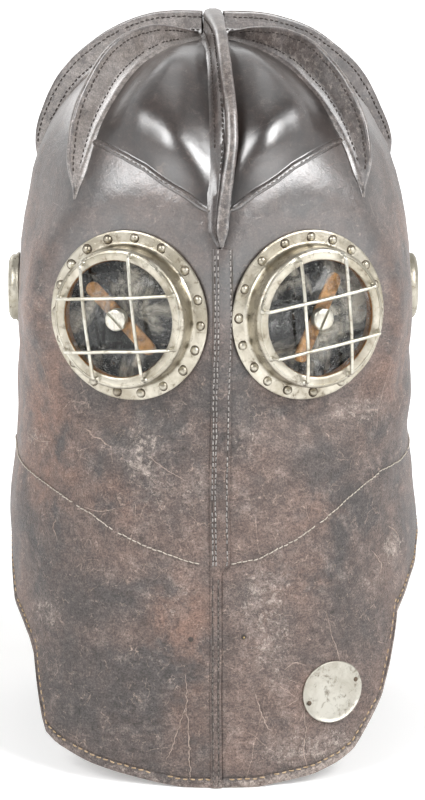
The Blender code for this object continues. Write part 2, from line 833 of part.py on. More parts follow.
def window_frame(side):
    """Frame on the flange's seat, with local Z out of the window."""
    yaw = radians(WINDOW_YAW)
    axis = Vector((side * sin(yaw), -cos(yaw), 0))
    seat = Vector((side * WINDOW_SIDE, -WINDOW_REACH, WINDOW_HEIGHT))
    origin = seat + axis * WINDOW_SEAT_GAP
    return axis_frame(origin, axis)


def bezel():
    """Flange, drum and inward lip, turned as one piece."""
    inside = DRUM_RADIUS - DRUM_WALL
    profile = [
        (inside, -BARREL_DEPTH), (BARREL_RADIUS, -BARREL_DEPTH), (BARREL_RADIUS, 0),
        (FLANGE_RADIUS, 0), (FLANGE_RADIUS, FLANGE_THICKNESS - EDGE_ROUND / 2),
        (FLANGE_RADIUS - EDGE_ROUND / 2, FLANGE_THICKNESS), (DRUM_RADIUS, FLANGE_THICKNESS),
        (DRUM_RADIUS, DRUM_HEIGHT - EDGE_ROUND), (DRUM_RADIUS - EDGE_ROUND, DRUM_HEIGHT),
        (LIP_OPENING, DRUM_HEIGHT), (LIP_OPENING, DRUM_HEIGHT - LIP_THICKNESS),
        (inside, DRUM_HEIGHT - LIP_THICKNESS)]
    return revolve(profile, RING_SEGMENTS)


def rivets(count, circle, base, radius, height, sides=6):
    """Ring of low round heads, sunk a little into what carries them."""
    parts = []
    profile = [(0, base - height / 2), (radius, base - height / 2),
               (radius * cos(pi / 5), base + height * sin(pi / 4)), (0, base + height)]
    for number in range(count):
        turn = 2 * pi * (number + 0.5) / count
        spot = Matrix.Translation((circle * cos(turn), circle * sin(turn), 0))
        parts.append(moved(revolve(profile, sides), spot))
    return merged(parts)


def wire(spacing, offset, tilt, level):
    """Two parallel guard wires, arched from lip to lip."""
    seat = LIP_OPENING + WIRE_SEAT_INSET
    parts = []
    for aside in (offset + spacing / 2, offset - spacing / 2):
        reach = sqrt(seat ** 2 - aside ** 2)
        stub = DRUM_HEIGHT + WIRE_RISE / 2
        path = [Vector((-reach, aside, DRUM_HEIGHT + SEAT_GAP)), Vector((-reach, aside, stub))]
        for step in range(WIRE_STATIONS + 1):
            share = 2 * step / WIRE_STATIONS - 1
            along = share * (reach - WIRE_BEND)
            path.append(Vector((along, aside, level + WIRE_BULGE * (1 - share ** 2))))
        path.append(Vector((reach, aside, stub)))
        path.append(Vector((reach, aside, DRUM_HEIGHT + SEAT_GAP)))
        parts.append(tube(path, WIRE_RADIUS, 6))
    return moved(merged(parts), Matrix.Rotation(radians(tilt), 4, "Z"))


def bar_with_hole(name, length, width, low, high, material):
    bar = new_object(name, *extrude_outline(stadium(length, width), low, high), material)
    hole = revolve([(0, low - OVERRUN), (SPINDLE_RADIUS + SEAT_GAP, low - OVERRUN),
                    (SPINDLE_RADIUS + SEAT_GAP, high + OVERRUN), (0, high + OVERRUN)], 12)
    boolean(bar, new_object(name + "_hole", *hole, material), "DIFFERENCE")
    return bar


def build_window(side):
    word = "left" if side > 0 else "right"
    frame = window_frame(side)
    shell = place(new_object("window_bezel_" + word, *bezel(), nickel), frame)
    rivet_circle = (FLANGE_RADIUS + DRUM_RADIUS) / 2
    heads = rivets(RIVET_COUNT, rivet_circle, FLANGE_THICKNESS, RIVET_RADIUS, RIVET_HEIGHT)
    boolean(shell, new_object("window_rivets_" + word, *heads, nickel), "UNION")

    glass_profile = [(SPINDLE_RADIUS + RUNNING_GAP, GLASS_BACK), (GLASS_RADIUS, GLASS_BACK),
                     (GLASS_RADIUS, GLASS_FRONT), (SPINDLE_RADIUS + RUNNING_GAP, GLASS_FRONT)]
    place(new_object("window_glass_" + word, *revolve(glass_profile, GLASS_SEGMENTS), glass),
          frame)
    spacer = [(GLASS_RADIUS - SPACER_WIDTH, CHAMBER_BACK), (GLASS_RADIUS, CHAMBER_BACK),
              (GLASS_RADIUS, GLASS_BACK - SEAT_GAP),
              (GLASS_RADIUS - SPACER_WIDTH, GLASS_BACK - SEAT_GAP)]
    place(new_object("window_spacer_" + word, *revolve(spacer, GLASS_SEGMENTS), brass), frame)
    inner_front = CHAMBER_BACK - SEAT_GAP
    inner_back = inner_front - INNER_GLASS_THICKNESS
    disc = [(0, inner_back), (GLASS_RADIUS, inner_back), (GLASS_RADIUS, inner_front),
            (0, inner_front)]
    place(new_object("inner_glass_" + word, *revolve(disc, GLASS_SEGMENTS), glass), frame)
    ring_front = inner_back - SEAT_GAP
    ring = [(GLASS_RADIUS - RETAINER_WIDTH, -BARREL_DEPTH), (GLASS_RADIUS, -BARREL_DEPTH),
            (GLASS_RADIUS, ring_front), (GLASS_RADIUS - RETAINER_WIDTH, ring_front)]
    place(new_object("window_retainer_" + word, *revolve(ring, GLASS_SEGMENTS), brass), frame)

    base = DRUM_HEIGHT + WIRE_RISE
    upright = wire(UPRIGHT_SPACINGS[side], UPRIGHT_OFFSETS[side], 90 + UPRIGHT_TILTS[side], base)
    guard = place(new_object("window_guard_" + word, *upright, nickel), frame)
    cross = wire(LEVEL_SPACINGS[side], LEVEL_OFFSETS[side], LEVEL_TILTS[side],
                 base + WIRE_RADIUS)
    boolean(guard, new_object("guard_cross_" + word, *cross, nickel), "UNION")
    build_wiper(side, word, frame)


def build_wiper(side, word, frame):
    """Slotted knob and spindle, with the bar and felt that turn behind the glass."""
    turned = frame @ Matrix.Rotation(radians(WIPER_ANGLES[side]), 4, "Z")
    low = GLASS_FRONT + SEAT_GAP
    top = low + KNOB_HEIGHT
    pad_high = GLASS_BACK - SEAT_GAP
    pad_low = pad_high - WIPER_PAD_THICKNESS
    arm_high = pad_low - SEAT_GAP
    arm_low = arm_high - WIPER_ARM_THICKNESS
    knob_profile = [
        (0, top), (KNOB_RADIUS - KNOB_CHAMFER, top), (KNOB_RADIUS, top - KNOB_CHAMFER),
        (KNOB_RADIUS, low), (SPINDLE_RADIUS, low), (SPINDLE_RADIUS, arm_low), (0, arm_low)]
    knob = new_object("wiper_knob_" + word, *revolve(knob_profile, 16), nickel)
    half = SLOT_WIDTH / 2
    reach = KNOB_RADIUS + OVERRUN
    slot = extrude_outline([(-reach, -half), (reach, -half), (reach, half), (-reach, half)],
                           top - SLOT_DEPTH, top + OVERRUN)
    boolean(knob, new_object("knob_slot_" + word, *slot, nickel), "DIFFERENCE")
    place(knob, turned)
    arm = bar_with_hole("wiper_arm_" + word, WIPER_LENGTH, WIPER_ARM_WIDTH, arm_low, arm_high,
                        brass)
    place(arm, turned)
    pad = bar_with_hole("wiper_felt_" + word, WIPER_LENGTH, WIPER_PAD_WIDTH, pad_low,
                        pad_high, felt)
    place(pad, turned)


# Ear pieces

def ear_frame(side):
    origin = Vector((side * (HALF_WIDTH - EAR_SINK + SEAT_GAP), 0, EAR_HEIGHT))
    return axis_frame(origin, Vector((side, 0, 0)))


def build_ear(side):
    word = "left" if side > 0 else "right"
    frame = ear_frame(side)
    spigot = EAR_HOLE_RADIUS - SEAT_GAP
    bore = spigot - EAR_SPIGOT_WALL
    base = [(bore, -LEATHER - SEAT_GAP), (spigot, -LEATHER - SEAT_GAP), (spigot, 0),
            (EAR_RADIUS, 0), (EAR_RADIUS, EAR_BASE_THICKNESS), (bore, EAR_BASE_THICKNESS)]
    place(new_object("ear_base_" + word, *revolve(base, EAR_SEGMENTS), nickel), frame)
    seat = EAR_BASE_THICKNESS + SEAT_GAP
    inside = EAR_CAP_RADIUS - EAR_CAP_WALL
    disc = [(0, seat), (inside - SEAT_GAP, seat), (inside - SEAT_GAP, seat + DIAPHRAGM_THICKNESS),
            (inside / 2, seat + DIAPHRAGM_THICKNESS), (inside / 3, DIAPHRAGM_HEIGHT + seat),
            (0, DIAPHRAGM_HEIGHT + seat)]
    place(new_object("ear_diaphragm_" + word, *revolve(disc, EAR_SEGMENTS), brass), frame)
    top = seat + EAR_CAP_HEIGHT
    cap = [(inside, seat), (EAR_CAP_RADIUS, seat), (EAR_CAP_RADIUS, top - EAR_CAP_BEVEL),
           (EAR_CAP_RADIUS - EAR_CAP_BEVEL, top), (EAR_CAP_CENTRE_HOLE, top),
           (EAR_CAP_CENTRE_HOLE, top - EAR_CAP_WALL),
           (EAR_CAP_RADIUS - EAR_CAP_BEVEL, top - EAR_CAP_WALL),
           (inside, top - EAR_CAP_BEVEL)]
    shell = new_object("ear_cap_" + word, *revolve(cap, EAR_SEGMENTS), nickel)
    holes = []
    for number in range(EAR_CAP_HOLES):
        turn = 2 * pi * number / EAR_CAP_HOLES
        spot = Matrix.Translation((EAR_CAP_HOLE_CIRCLE * cos(turn),
                                   EAR_CAP_HOLE_CIRCLE * sin(turn), top))
        holes.append(moved(revolve_cutter(EAR_CAP_HOLE_RADIUS, 2 * EAR_CAP_WALL, 6), spot))
    boolean(shell, new_object("ear_cap_holes_" + word, *merged(holes), nickel), "DIFFERENCE")
    place(shell, frame)


# Round bare plate

def build_plate():
    """Thin round plate that follows the leather, with its two pins."""
    latitude = latitude_at(PLATE_HEIGHT)
    centre = shell_point(PLATE_ANGLE, latitude)

    def over_leather(along, climb, lift):
        return wall_point(centre.x + along * cos(radians(PLATE_ANGLE)),
                          PLATE_HEIGHT + climb, False, lift)

    segments = 20
    rings = 2
    vertices, faces = [], []
    for lift in (SEAT_GAP, SEAT_GAP + PLATE_THICKNESS):
        vertices.append(over_leather(0, 0, lift))
        for ring in range(1, rings + 1):
            radius = PLATE_RADIUS * ring / rings
            for step in range(segments):
                turn = 2 * pi * step / segments
                vertices.append(over_leather(radius * cos(turn), radius * sin(turn), lift))
    layer = 1 + rings * segments
    for start in (0, layer):
        for step in range(segments):
            after = (step + 1) % segments
            faces.append([start, start + 1 + step, start + 1 + after])
            for ring in range(rings - 1):
                near = start + 1 + ring * segments
                far = near + segments
                faces.append([near + step, far + step, far + after, near + after])
    edge = 1 + (rings - 1) * segments
    for step in range(segments):
        after = (step + 1) % segments
        faces.append([edge + step, edge + after, layer + edge + after, layer + edge + step])
    plate = place(new_object("bare_plate", vertices, faces, nickel), Matrix())
    heads = []
    for end in (1, -1):
        along = end * PLATE_PIN_SPACING / 2
        foot = over_leather(along * cos(radians(PLATE_TILT)), along * sin(radians(PLATE_TILT)),
                            SEAT_GAP)
        profile = [(0, PLATE_THICKNESS / 2), (PLATE_PIN_RADIUS, PLATE_THICKNESS / 2),
                   (PLATE_PIN_RADIUS, PLATE_THICKNESS + PLATE_PIN_HEIGHT / 2),
                   (PLATE_PIN_RADIUS / 2, PLATE_THICKNESS + PLATE_PIN_HEIGHT),
                   (0, PLATE_THICKNESS + PLATE_PIN_HEIGHT)]
        normal = shell_normal(PLATE_ANGLE, latitude)
        heads.append(moved(revolve(profile, 8), axis_frame(foot, normal)))
    boolean(plate, new_object("plate_pins", *merged(heads), nickel), "UNION")


# Air tank, its straps and saddle

def tank_centre():
    wall = wall_point(0, TANK_HEIGHT, True, 0)
    return Vector((0, wall.y + TANK_STANDOFF + TANK_RADIUS, TANK_HEIGHT))


def build_tank():
    half = TANK_LENGTH / 2
    straight = half - TANK_END_DEPTH
    outer, inner = [], []
    steps = 3
    for side in (-1, 1):
        for step in range(steps + 1):
            turn = pi / 2 * (step / steps if side > 0 else 1 - step / steps)
            crown = max(sin(turn), 0)
            radius = TANK_RADIUS * cos(turn)
            outer.append((max(radius, TANK_PORT_RADIUS),
                          side * (straight + TANK_END_DEPTH * crown)))
            radius = (TANK_RADIUS - TANK_WALL) * cos(turn)
            inner.append((max(radius, TANK_PORT_RADIUS),
                          side * (straight + (TANK_END_DEPTH - TANK_WALL) * crown)))
    profile = outer + inner[::-1]
    frame = axis_frame(tank_centre(), Vector((1, 0, 0)))
    place(new_object("air_tank", *revolve(profile, TANK_SEGMENTS), nickel), frame)


def strap_path(side):
    """Points of a strap's inner face at one side distance, from top to bottom."""
    centre = tank_centre()
    steps = 10
    radius = (TANK_RADIUS + SEAT_GAP) / cos(pi / steps / 2)
    top = centre.z + radius
    bottom = centre.z - radius
    path = [Vector((side, wall_point(side, height, True, SEAT_GAP).y, height))
            for height in (top + STRAP_FOOT, top + STRAP_FOOT / 2, top)]
    for step in range(steps + 1):
        turn = pi / 2 - pi * step / steps
        path.append(Vector((side, centre.y + radius * cos(turn),
                            centre.z + radius * sin(turn))))
    path += [Vector((side, wall_point(side, height, True, SEAT_GAP).y, height))
             for height in (bottom, bottom - STRAP_FOOT / 2, bottom - STRAP_FOOT)]
    return path


def build_straps():
    """Bands over the tank with a foot on the leather above and below."""
    for middle, word in ((STRAP_OFFSET, "left"), (-STRAP_OFFSET, "right")):
        near = strap_path(middle - STRAP_WIDTH / 2)
        far = strap_path(middle + STRAP_WIDTH / 2)
        sections = []
        for index in range(len(near)):
            ring = []
            for path in (near, far):
                ahead = path[min(index + 1, len(path) - 1)] - path[max(index - 1, 0)]
                outward = Vector((0, -ahead.z, ahead.y)).normalized() * STRAP_THICKNESS
                ring.append((path[index], path[index] + outward))
            sections.append([ring[0][0], ring[1][0], ring[1][1], ring[0][1]])
        place(new_object("tank_strap_" + word, *loft(sections), nickel), Matrix())


def build_saddle():
    """Leather block between the shell and the tank, grooved over the seam strip."""
    centre = tank_centre()
    sections = []
    arc_steps = 6
    radius = TANK_RADIUS + SEAT_GAP
    reach = asin(SADDLE_HEIGHT / 2 / radius)
    groove = STRIP_WIDTH / 2 + SEAT_GAP
    half_sides = [groove, groove + SEAT_GAP, SADDLE_WIDTH / 4 + groove / 2, SADDLE_WIDTH / 2]
    for side in [-half for half in reversed(half_sides)] + half_sides:
        lift = SEAT_GAP
        if abs(side) <= groove:
            lift += STRIP_LIFT + STRIP_THICKNESS
        ring = []
        for step in range(3):
            height = centre.z + SADDLE_HEIGHT * (step / 2 - 0.5)
            wall = wall_point(side, height, True, lift)
            ring.append(Vector((side, wall.y, height)))
        for step in range(arc_steps + 1):
            turn = reach * (1 - 2 * step / arc_steps)
            ring.append(Vector((side, centre.y - radius * cos(turn),
                                centre.z + radius * sin(turn))))
        sections.append(ring)
    place(new_object("tank_saddle", *loft(sections), leather), Matrix())


# Outlet valve

def valve_frame():
    """Frame on the tank's wearer's-right end, local Z pointing away from the tank."""
    origin = tank_centre() + Vector((-TANK_LENGTH / 2, 0, 0))
    return axis_frame(origin, Vector((-1, 0, 0)))


def build_valve():
    frame = valve_frame()
    seat = SEAT_GAP
    spigot = TANK_PORT_RADIUS - SEAT_GAP
    neck_end = seat + VALVE_NECK
    body_end = neck_end + VALVE_LENGTH
    bore = STEM_RADIUS + RUNNING_GAP
    body = [(bore, -TANK_END_DEPTH / 2), (spigot, -TANK_END_DEPTH / 2), (spigot, seat),
            (VALVE_RADIUS, seat), (VALVE_RADIUS, neck_end), (VALVE_BODY_RADIUS, neck_end),
            (VALVE_BODY_RADIUS, body_end), (bore, body_end)]
    item = place(new_object("valve_body", *revolve(body, 16), brass), frame)
    height = neck_end + VALVE_LENGTH / 2
    boss = revolve([(0, OUTLET_BOSS_FOOT), (OUTLET_BOSS_RADIUS, OUTLET_BOSS_FOOT),
                    (OUTLET_BOSS_RADIUS, OUTLET_BOSS_HEIGHT), (0, OUTLET_BOSS_HEIGHT)], 14)
    turn = Matrix.Translation((0, 0, height)) @ Matrix.Rotation(-pi / 2, 4, "X")
    boolean(item, new_object("outlet_boss", *moved(boss, turn), brass), "UNION")

    gland_low = body_end + SEAT_GAP
    gland_high = gland_low + GLAND_LENGTH
    gland = hexagon_nut(bore, GLAND_RADIUS, gland_low, gland_high)
    place(new_object("valve_gland_nut", *gland, brass), frame)

    wheel_low = gland_high + SEAT_GAP
    wheel_high = wheel_low + WHEEL_HUB_LENGTH
    stem = [(0, wheel_high - STEM_LENGTH), (STEM_RADIUS, wheel_high - STEM_LENGTH),
            (STEM_RADIUS, wheel_high), (0, wheel_high)]
    place(new_object("valve_stem", *revolve(stem, 12), brass), frame)

    middle = (wheel_low + wheel_high) / 2
    hub_bore = STEM_RADIUS + SEAT_GAP / 3
    hub = revolve([(hub_bore, wheel_low), (WHEEL_HUB_RADIUS, wheel_low),
                   (WHEEL_HUB_RADIUS, wheel_high), (hub_bore, wheel_high)], 16)
    rim_turns = [2 * pi * step / WHEEL_RIM_SIDES for step in range(WHEEL_RIM_SIDES)]
    rim_profile = [(WHEEL_RADIUS + WHEEL_RIM_RADIUS * cos(turn),
                    middle + WHEEL_RIM_RADIUS * sin(turn)) for turn in rim_turns]
    spokes = []
    for number in range(WHEEL_SPOKES):
        low = middle - WHEEL_SPOKE_THICKNESS / 2
        half = WHEEL_SPOKE_WIDTH / 2
        outline = [(WHEEL_SPOKE_FOOT, -half), (WHEEL_RADIUS, -half), (WHEEL_RADIUS, half),
                   (WHEEL_SPOKE_FOOT, half)]
        spoke = extrude_outline(outline, low, low + WHEEL_SPOKE_THICKNESS)
        spokes.append(moved(spoke, Matrix.Rotation(2 * pi * number / WHEEL_SPOKES, 4, "Z")))
    wheel = place(new_object("valve_wheel", *revolve(rim_profile, 16), brass), frame)
    boolean(wheel, new_object("wheel_spokes", *merged(spokes), brass), "UNION")
    boolean(wheel, new_object("wheel_hub", *hub, brass), "UNION")


# Outlet pipe and shell inlet

def inlet_frame():
    """Frame on the back of the shell where the air comes in, local Z outward.

    It lies above the neck collar, so that the nut inside clears the collar's upper edge.
    """
    angle = angle_at_side(-INLET_SIDE, latitude_at(COLLAR_HIGH), True)
    height = (collar_height(angle) + COLLAR_THICKNESS + INLET_NUT_RADIUS + INLET_CLEARANCE)
    point = wall_point(-INLET_SIDE, height, True, SEAT_GAP)
    latitude = latitude_at(height)
    normal = shell_normal(angle_at_side(-INLET_SIDE, latitude, True), latitude)
    return axis_frame(point, normal)


def build_inlet():
    frame = inlet_frame()
    body_high = INLET_FLANGE_THICKNESS + INLET_BODY_LENGTH
    inner = -LEATHER - INLET_INNER_LENGTH
    body = [(INLET_BORE, inner), (INLET_BODY_RADIUS, inner), (INLET_BODY_RADIUS, SEAT_GAP),
            (INLET_FLANGE_RADIUS, SEAT_GAP), (INLET_FLANGE_RADIUS, INLET_FLANGE_THICKNESS),
            (INLET_BODY_RADIUS, INLET_FLANGE_THICKNESS), (INLET_BODY_RADIUS, body_high),
            (INLET_BORE, body_high)]
    place(new_object("shell_inlet", *revolve(body, 18), brass), frame)
    nut_high = -LEATHER - INLET_NUT_GAP
    nut = hexagon_nut(INLET_BODY_RADIUS + SEAT_GAP, INLET_NUT_RADIUS,
                      nut_high - INLET_NUT_THICKNESS, nut_high)
    place(new_object("inlet_nut", *nut, brass), frame)


def build_pipe():
    """Bent pipe from the valve's outlet boss up to the fitting in the shell."""
    valve = valve_frame()
    reach = SEAT_GAP + VALVE_NECK + VALVE_LENGTH / 2
    start = valve @ Vector((0, OUTLET_BOSS_HEIGHT + SEAT_GAP, reach))
    inlet = inlet_frame()
    stop = inlet @ Vector((0, 0, INLET_FLANGE_THICKNESS + INLET_BODY_LENGTH + SEAT_GAP))
    outward = (inlet.to_3x3() @ Vector((0, 0, 1))).normalized()
    rise = Vector((0, 0, PIPE_LEAD))
    bend = stop + outward * PIPE_LEAD
    middle = start.lerp(bend, PIPE_BEND_SHARE) + rise
    points = [start, start + rise / 2, start + rise, middle, bend, (bend + stop) / 2, stop]
    place(new_object("outlet_pipe", *tube(smooth_route(points, 4), PIPE_RADIUS, 6), brass),
          Matrix())


# Filler and its cap

def filler_frame():
    """Frame on the tank's wearer's-left end, local Z pointing away from the tank."""
    origin = tank_centre() + Vector((TANK_LENGTH / 2, 0, 0))
    return axis_frame(origin, Vector((1, 0, 0)))


def build_filler():
    frame = filler_frame()
    spigot = TANK_PORT_RADIUS - SEAT_GAP
    flange_high = SEAT_GAP + FILLER_FLANGE_THICKNESS
    end = flange_high + FILLER_LENGTH
    body = [(FILLER_BORE, -TANK_END_DEPTH / 2), (spigot, -TANK_END_DEPTH / 2),
            (spigot, SEAT_GAP), (FILLER_FLANGE_RADIUS, SEAT_GAP),
            (FILLER_FLANGE_RADIUS, flange_high), (FILLER_RADIUS, flange_high),
            (FILLER_RADIUS, end), (FILLER_BORE, end)]
    place(new_object("filler_nipple", *revolve(body, 20), brass), frame)
    inside = FILLER_RADIUS + RUNNING_GAP
    outside = inside + CAP_WALL
    cap_end = end + SEAT_GAP + CAP_END
    cap_low = cap_end - CAP_LENGTH - CAP_END
    outline = []
    for rib in range(CAP_RIBS):
        for share, radius in ((0, outside), (0.5, outside), (0.5, outside - CAP_RIB_DEPTH),
                              (1, outside - CAP_RIB_DEPTH)):
            turn = 2 * pi * (rib + share * CAP_RIB_SHARE) / CAP_RIBS
            outline.append((radius * cos(turn), radius * sin(turn)))
    cap = new_object("filler_cap", *extrude_outline(outline, cap_low, cap_end), brass)
    bore = revolve([(0, cap_low - OVERRUN), (inside, cap_low - OVERRUN),
                    (inside, end + SEAT_GAP), (0, end + SEAT_GAP)], 20)
    boolean(cap, new_object("cap_bore", *bore, brass), "DIFFERENCE")
    place(cap, frame)


# Pressure gauge

def gauge_frame():
    """Frame at the back of the gauge's case, with local Z out of the dial."""
    centre = tank_centre()
    height = centre.z + TANK_RADIUS + SEAT_GAP + GAUGE_STEM_HEIGHT + GAUGE_RADIUS
    origin = Vector((GAUGE_OFFSET, centre.y - GAUGE_DEPTH / 2, height))
    return axis_frame(origin, Vector((0, 1, 0)))


def build_gauge():
    frame = gauge_frame()
    inside = GAUGE_RADIUS - GAUGE_WALL
    case = [(0, 0), (GAUGE_RADIUS - GAUGE_WALL, 0), (GAUGE_RADIUS, GAUGE_WALL),
            (GAUGE_RADIUS, GAUGE_DEPTH), (inside, GAUGE_DEPTH), (inside, GAUGE_BACK),
            (0, GAUGE_BACK)]
    item = new_object("gauge_case", *revolve(case, GAUGE_SEGMENTS), brass)
    stem_low = GAUGE_RADIUS - GAUGE_WALL / 2
    stem = revolve([(0, stem_low), (GAUGE_STEM_RADIUS, stem_low),
                    (GAUGE_STEM_RADIUS, GAUGE_RADIUS + GAUGE_STEM_HEIGHT),
                    (0, GAUGE_RADIUS + GAUGE_STEM_HEIGHT)], 12)
    turn = Matrix.Translation((0, 0, GAUGE_DEPTH / 2)) @ Matrix.Rotation(pi / 2, 4, "X")
    boolean(item, new_object("gauge_stem", *moved(stem, turn), brass), "UNION")
    place(item, frame)
    hole = POINTER_SPINDLE_RADIUS + RUNNING_GAP
    dial_low = DIAL_HEIGHT
    dial = [(hole, dial_low), (inside - SEAT_GAP, dial_low),
            (inside - SEAT_GAP, dial_low + DIAL_THICKNESS), (hole, dial_low + DIAL_THICKNESS)]
    place(new_object("gauge_dial", *revolve(dial, GAUGE_SEGMENTS), enamel), frame)
    glass_high = GAUGE_DEPTH - GAUGE_GLASS_INSET
    cover = [(0, glass_high - GAUGE_GLASS_THICKNESS),
             (inside - SEAT_GAP, glass_high - GAUGE_GLASS_THICKNESS),
             (inside - SEAT_GAP, glass_high), (0, glass_high)]
    place(new_object("gauge_glass", *revolve(cover, GAUGE_SEGMENTS), glass), frame)
    pointer_low = dial_low + DIAL_THICKNESS + POINTER_LIFT
    pointer_high = pointer_low + POINTER_THICKNESS
    spindle = [(0, GAUGE_BACK + SEAT_GAP), (POINTER_SPINDLE_RADIUS, GAUGE_BACK + SEAT_GAP),
               (POINTER_SPINDLE_RADIUS, pointer_low - POINTER_THICKNESS),
               (POINTER_HUB_RADIUS, pointer_low - POINTER_THICKNESS),
               (POINTER_HUB_RADIUS, pointer_high + POINTER_THICKNESS),
               (0, pointer_high + POINTER_THICKNESS)]
    pointer = new_object("gauge_pointer", *revolve(spindle, 10), steel)
    half = POINTER_WIDTH / 2
    blade = [(-POINTER_TAIL, -half), (0, -half), (POINTER_LENGTH, -half / 4),
             (POINTER_LENGTH, half / 4), (0, half), (-POINTER_TAIL, half)]
    boolean(pointer, new_object("pointer_blade",
                                *extrude_outline(blade, pointer_low, pointer_high), steel),
            "UNION")
    place(pointer, frame @ Matrix.Rotation(radians(POINTER_REST), 4, "Z"))


# Soft parts

def both_ways(angles):
    """Column angles all the way round, from those of one side."""
    return list(angles) + [-angle for angle in reversed(angles[1:-1])]


def build_crown_pad():
    """Padded cap under the dome, on columns of the leather."""
    angles = both_ways(SOFT_COLUMN_ANGLES)
    latitudes = row_latitudes(180)[:PAD_LOW_ROW + 1]

    def layer(depth):
        return [[shell_point(angle, latitude) - shell_normal(angle, latitude) * depth
                 for angle in angles] for latitude in latitudes]

    outer = layer(LEATHER + PAD_GAP)
    inner = layer(LEATHER + PAD_GAP + PAD_THICKNESS)
    place(new_object("crown_pad", *loft(outer + inner[::-1]), wool, 80), Matrix())


def build_collar():
    """Soft ring that closes the space between the shell and the wearer's neck."""
    sections = []
    for angle in both_ways(SOFT_COLUMN_ANGLES):
        latitude = latitude_at(collar_height(angle))
        normal = shell_normal(angle, latitude)
        wall = shell_point(angle, latitude) - normal * (LEATHER + COLLAR_GAP)
        upper = wall + Vector((0, 0, COLLAR_THICKNESS))
        turn = atan2(wall.x / COLLAR_NECK_WIDTH, -wall.y / COLLAR_NECK_DEPTH)
        level = COLLAR_LOW + (COLLAR_HIGH - COLLAR_LOW) / 2 - COLLAR_DROP
        neck = Vector((COLLAR_NECK_WIDTH * sin(turn), -COLLAR_NECK_DEPTH * cos(turn), level))
        outward = Vector((sin(turn), -cos(turn), 0))
        middle = (neck + wall) / 2 + Vector((0, 0, COLLAR_THICKNESS))
        sections.append([
            wall, upper, middle + Vector((0, 0, COLLAR_THICKNESS / 2)),
            neck + outward * (COLLAR_THICKNESS / 2) + Vector((0, 0, COLLAR_THICKNESS / 2)),
            neck, neck + outward * (COLLAR_THICKNESS / 2) - Vector((0, 0, COLLAR_THICKNESS / 2)),
            middle - Vector((0, 0, COLLAR_THICKNESS / 2))])
    place(new_object("neck_collar", *loft(sections, closed=True), wool, 80), Matrix())


def settle_assembly():
    """Move the assembly so that the middle of its depth lies over the origin."""
    bpy.context.view_layer.update()
    graph = bpy.context.evaluated_depsgraph_get()
    low = high = 0
    for item in bpy.context.scene.objects:
        if item.type != "MESH" or item.hide_render:
            continue
        shown = item.evaluated_get(graph)
        for corner in shown.bound_box:
            depth = (item.matrix_world @ Vector(corner)).y
            low = min(low, depth)
            high = max(high, depth)
    assembly.location.y = -(low + high) / 2
    bpy.context.view_layer.update()


clear_scene()
leather = principled("leather", (0.060, 0.040, 0.035), 0.45, 0.0)
nickel = principled("nickel", (0.55, 0.52, 0.43), 0.35, 1.0)
brass = principled("brass", (0.50, 0.40, 0.20), 0.40, 1.0)
steel = principled("steel", (0.10, 0.11, 0.13), 0.35, 1.0)
glass = principled("glass", (0.80, 0.85, 0.85), 0.08, 0.0)
felt = principled("felt", (0.60, 0.28, 0.10), 0.90, 0.0)
wool = principled("wool", (0.55, 0.48, 0.36), 0.95, 0.0)
enamel = principled("enamel", (0.80, 0.79, 0.74), 0.40, 0.0)
assembly = bpy.data.objects.new("helmet", None)
bpy.context.scene.collection.objects.link(assembly)

build_panels()
build_crests()
build_strips()
for wearer_side in (1, -1):
    build_window(wearer_side)
    build_ear(wearer_side)
build_plate()
build_tank()
build_straps()
build_saddle()
build_valve()
build_inlet()
build_pipe()
build_filler()
build_gauge()
build_crown_pad()
build_collar()
settle_assembly()
print("assembly depth shift in millimetres", round(assembly.location.y * 1000, 3))
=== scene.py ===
"""Looks of a leather smoke helmet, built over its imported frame.

Metres, +Z up, the wearer faces -Y and the wearer's left is +X. Points on the leather
are given by a column angle (0 at the front seam, positive to the wearer's left, 180 at
the back seam) and a latitude (-90 at the floor, 0 where the dome begins, 90 at the crown).
"""
import json
import random
from math import acos, asin, atan2, cos, degrees, hypot, pi, radians, sin, sqrt, tan

import bmesh
import bpy
from mathutils import Matrix, Vector, kdtree, noise

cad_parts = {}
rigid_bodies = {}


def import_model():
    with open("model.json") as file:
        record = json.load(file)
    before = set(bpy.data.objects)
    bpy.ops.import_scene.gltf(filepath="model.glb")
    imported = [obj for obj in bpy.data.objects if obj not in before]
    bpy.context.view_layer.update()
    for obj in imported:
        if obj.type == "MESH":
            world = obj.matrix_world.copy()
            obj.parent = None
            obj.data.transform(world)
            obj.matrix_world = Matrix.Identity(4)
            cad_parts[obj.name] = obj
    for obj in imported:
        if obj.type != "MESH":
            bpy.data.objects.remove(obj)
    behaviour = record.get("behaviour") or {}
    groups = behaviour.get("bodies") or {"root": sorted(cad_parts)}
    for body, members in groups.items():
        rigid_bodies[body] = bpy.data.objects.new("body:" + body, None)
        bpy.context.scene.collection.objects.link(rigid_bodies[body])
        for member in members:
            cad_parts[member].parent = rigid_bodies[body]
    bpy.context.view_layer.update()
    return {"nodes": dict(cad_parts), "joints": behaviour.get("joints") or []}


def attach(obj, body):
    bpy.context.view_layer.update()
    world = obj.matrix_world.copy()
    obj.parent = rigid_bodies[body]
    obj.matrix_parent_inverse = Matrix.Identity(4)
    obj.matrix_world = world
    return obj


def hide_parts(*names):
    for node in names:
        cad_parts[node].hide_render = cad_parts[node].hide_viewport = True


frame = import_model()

# Leather shell, as in the frame
HALF_WIDTH, FRONT_REACH, BACK_REACH = 0.1257, 0.145, 0.130
SPRING_HEIGHT, DOME_RISE, LEATHER = 0.300, 0.150, 0.004
FLARE_TOP, SIDE_FLARE, FRONT_FLARE, BACK_FLARE = 0.290, 0.0155, 0.012, 0.008
SECTION_POWER, DOME_POWER, FLARE_POWER = 2.3, 2.3, 1.6
ARCH_HEIGHT = 0.135
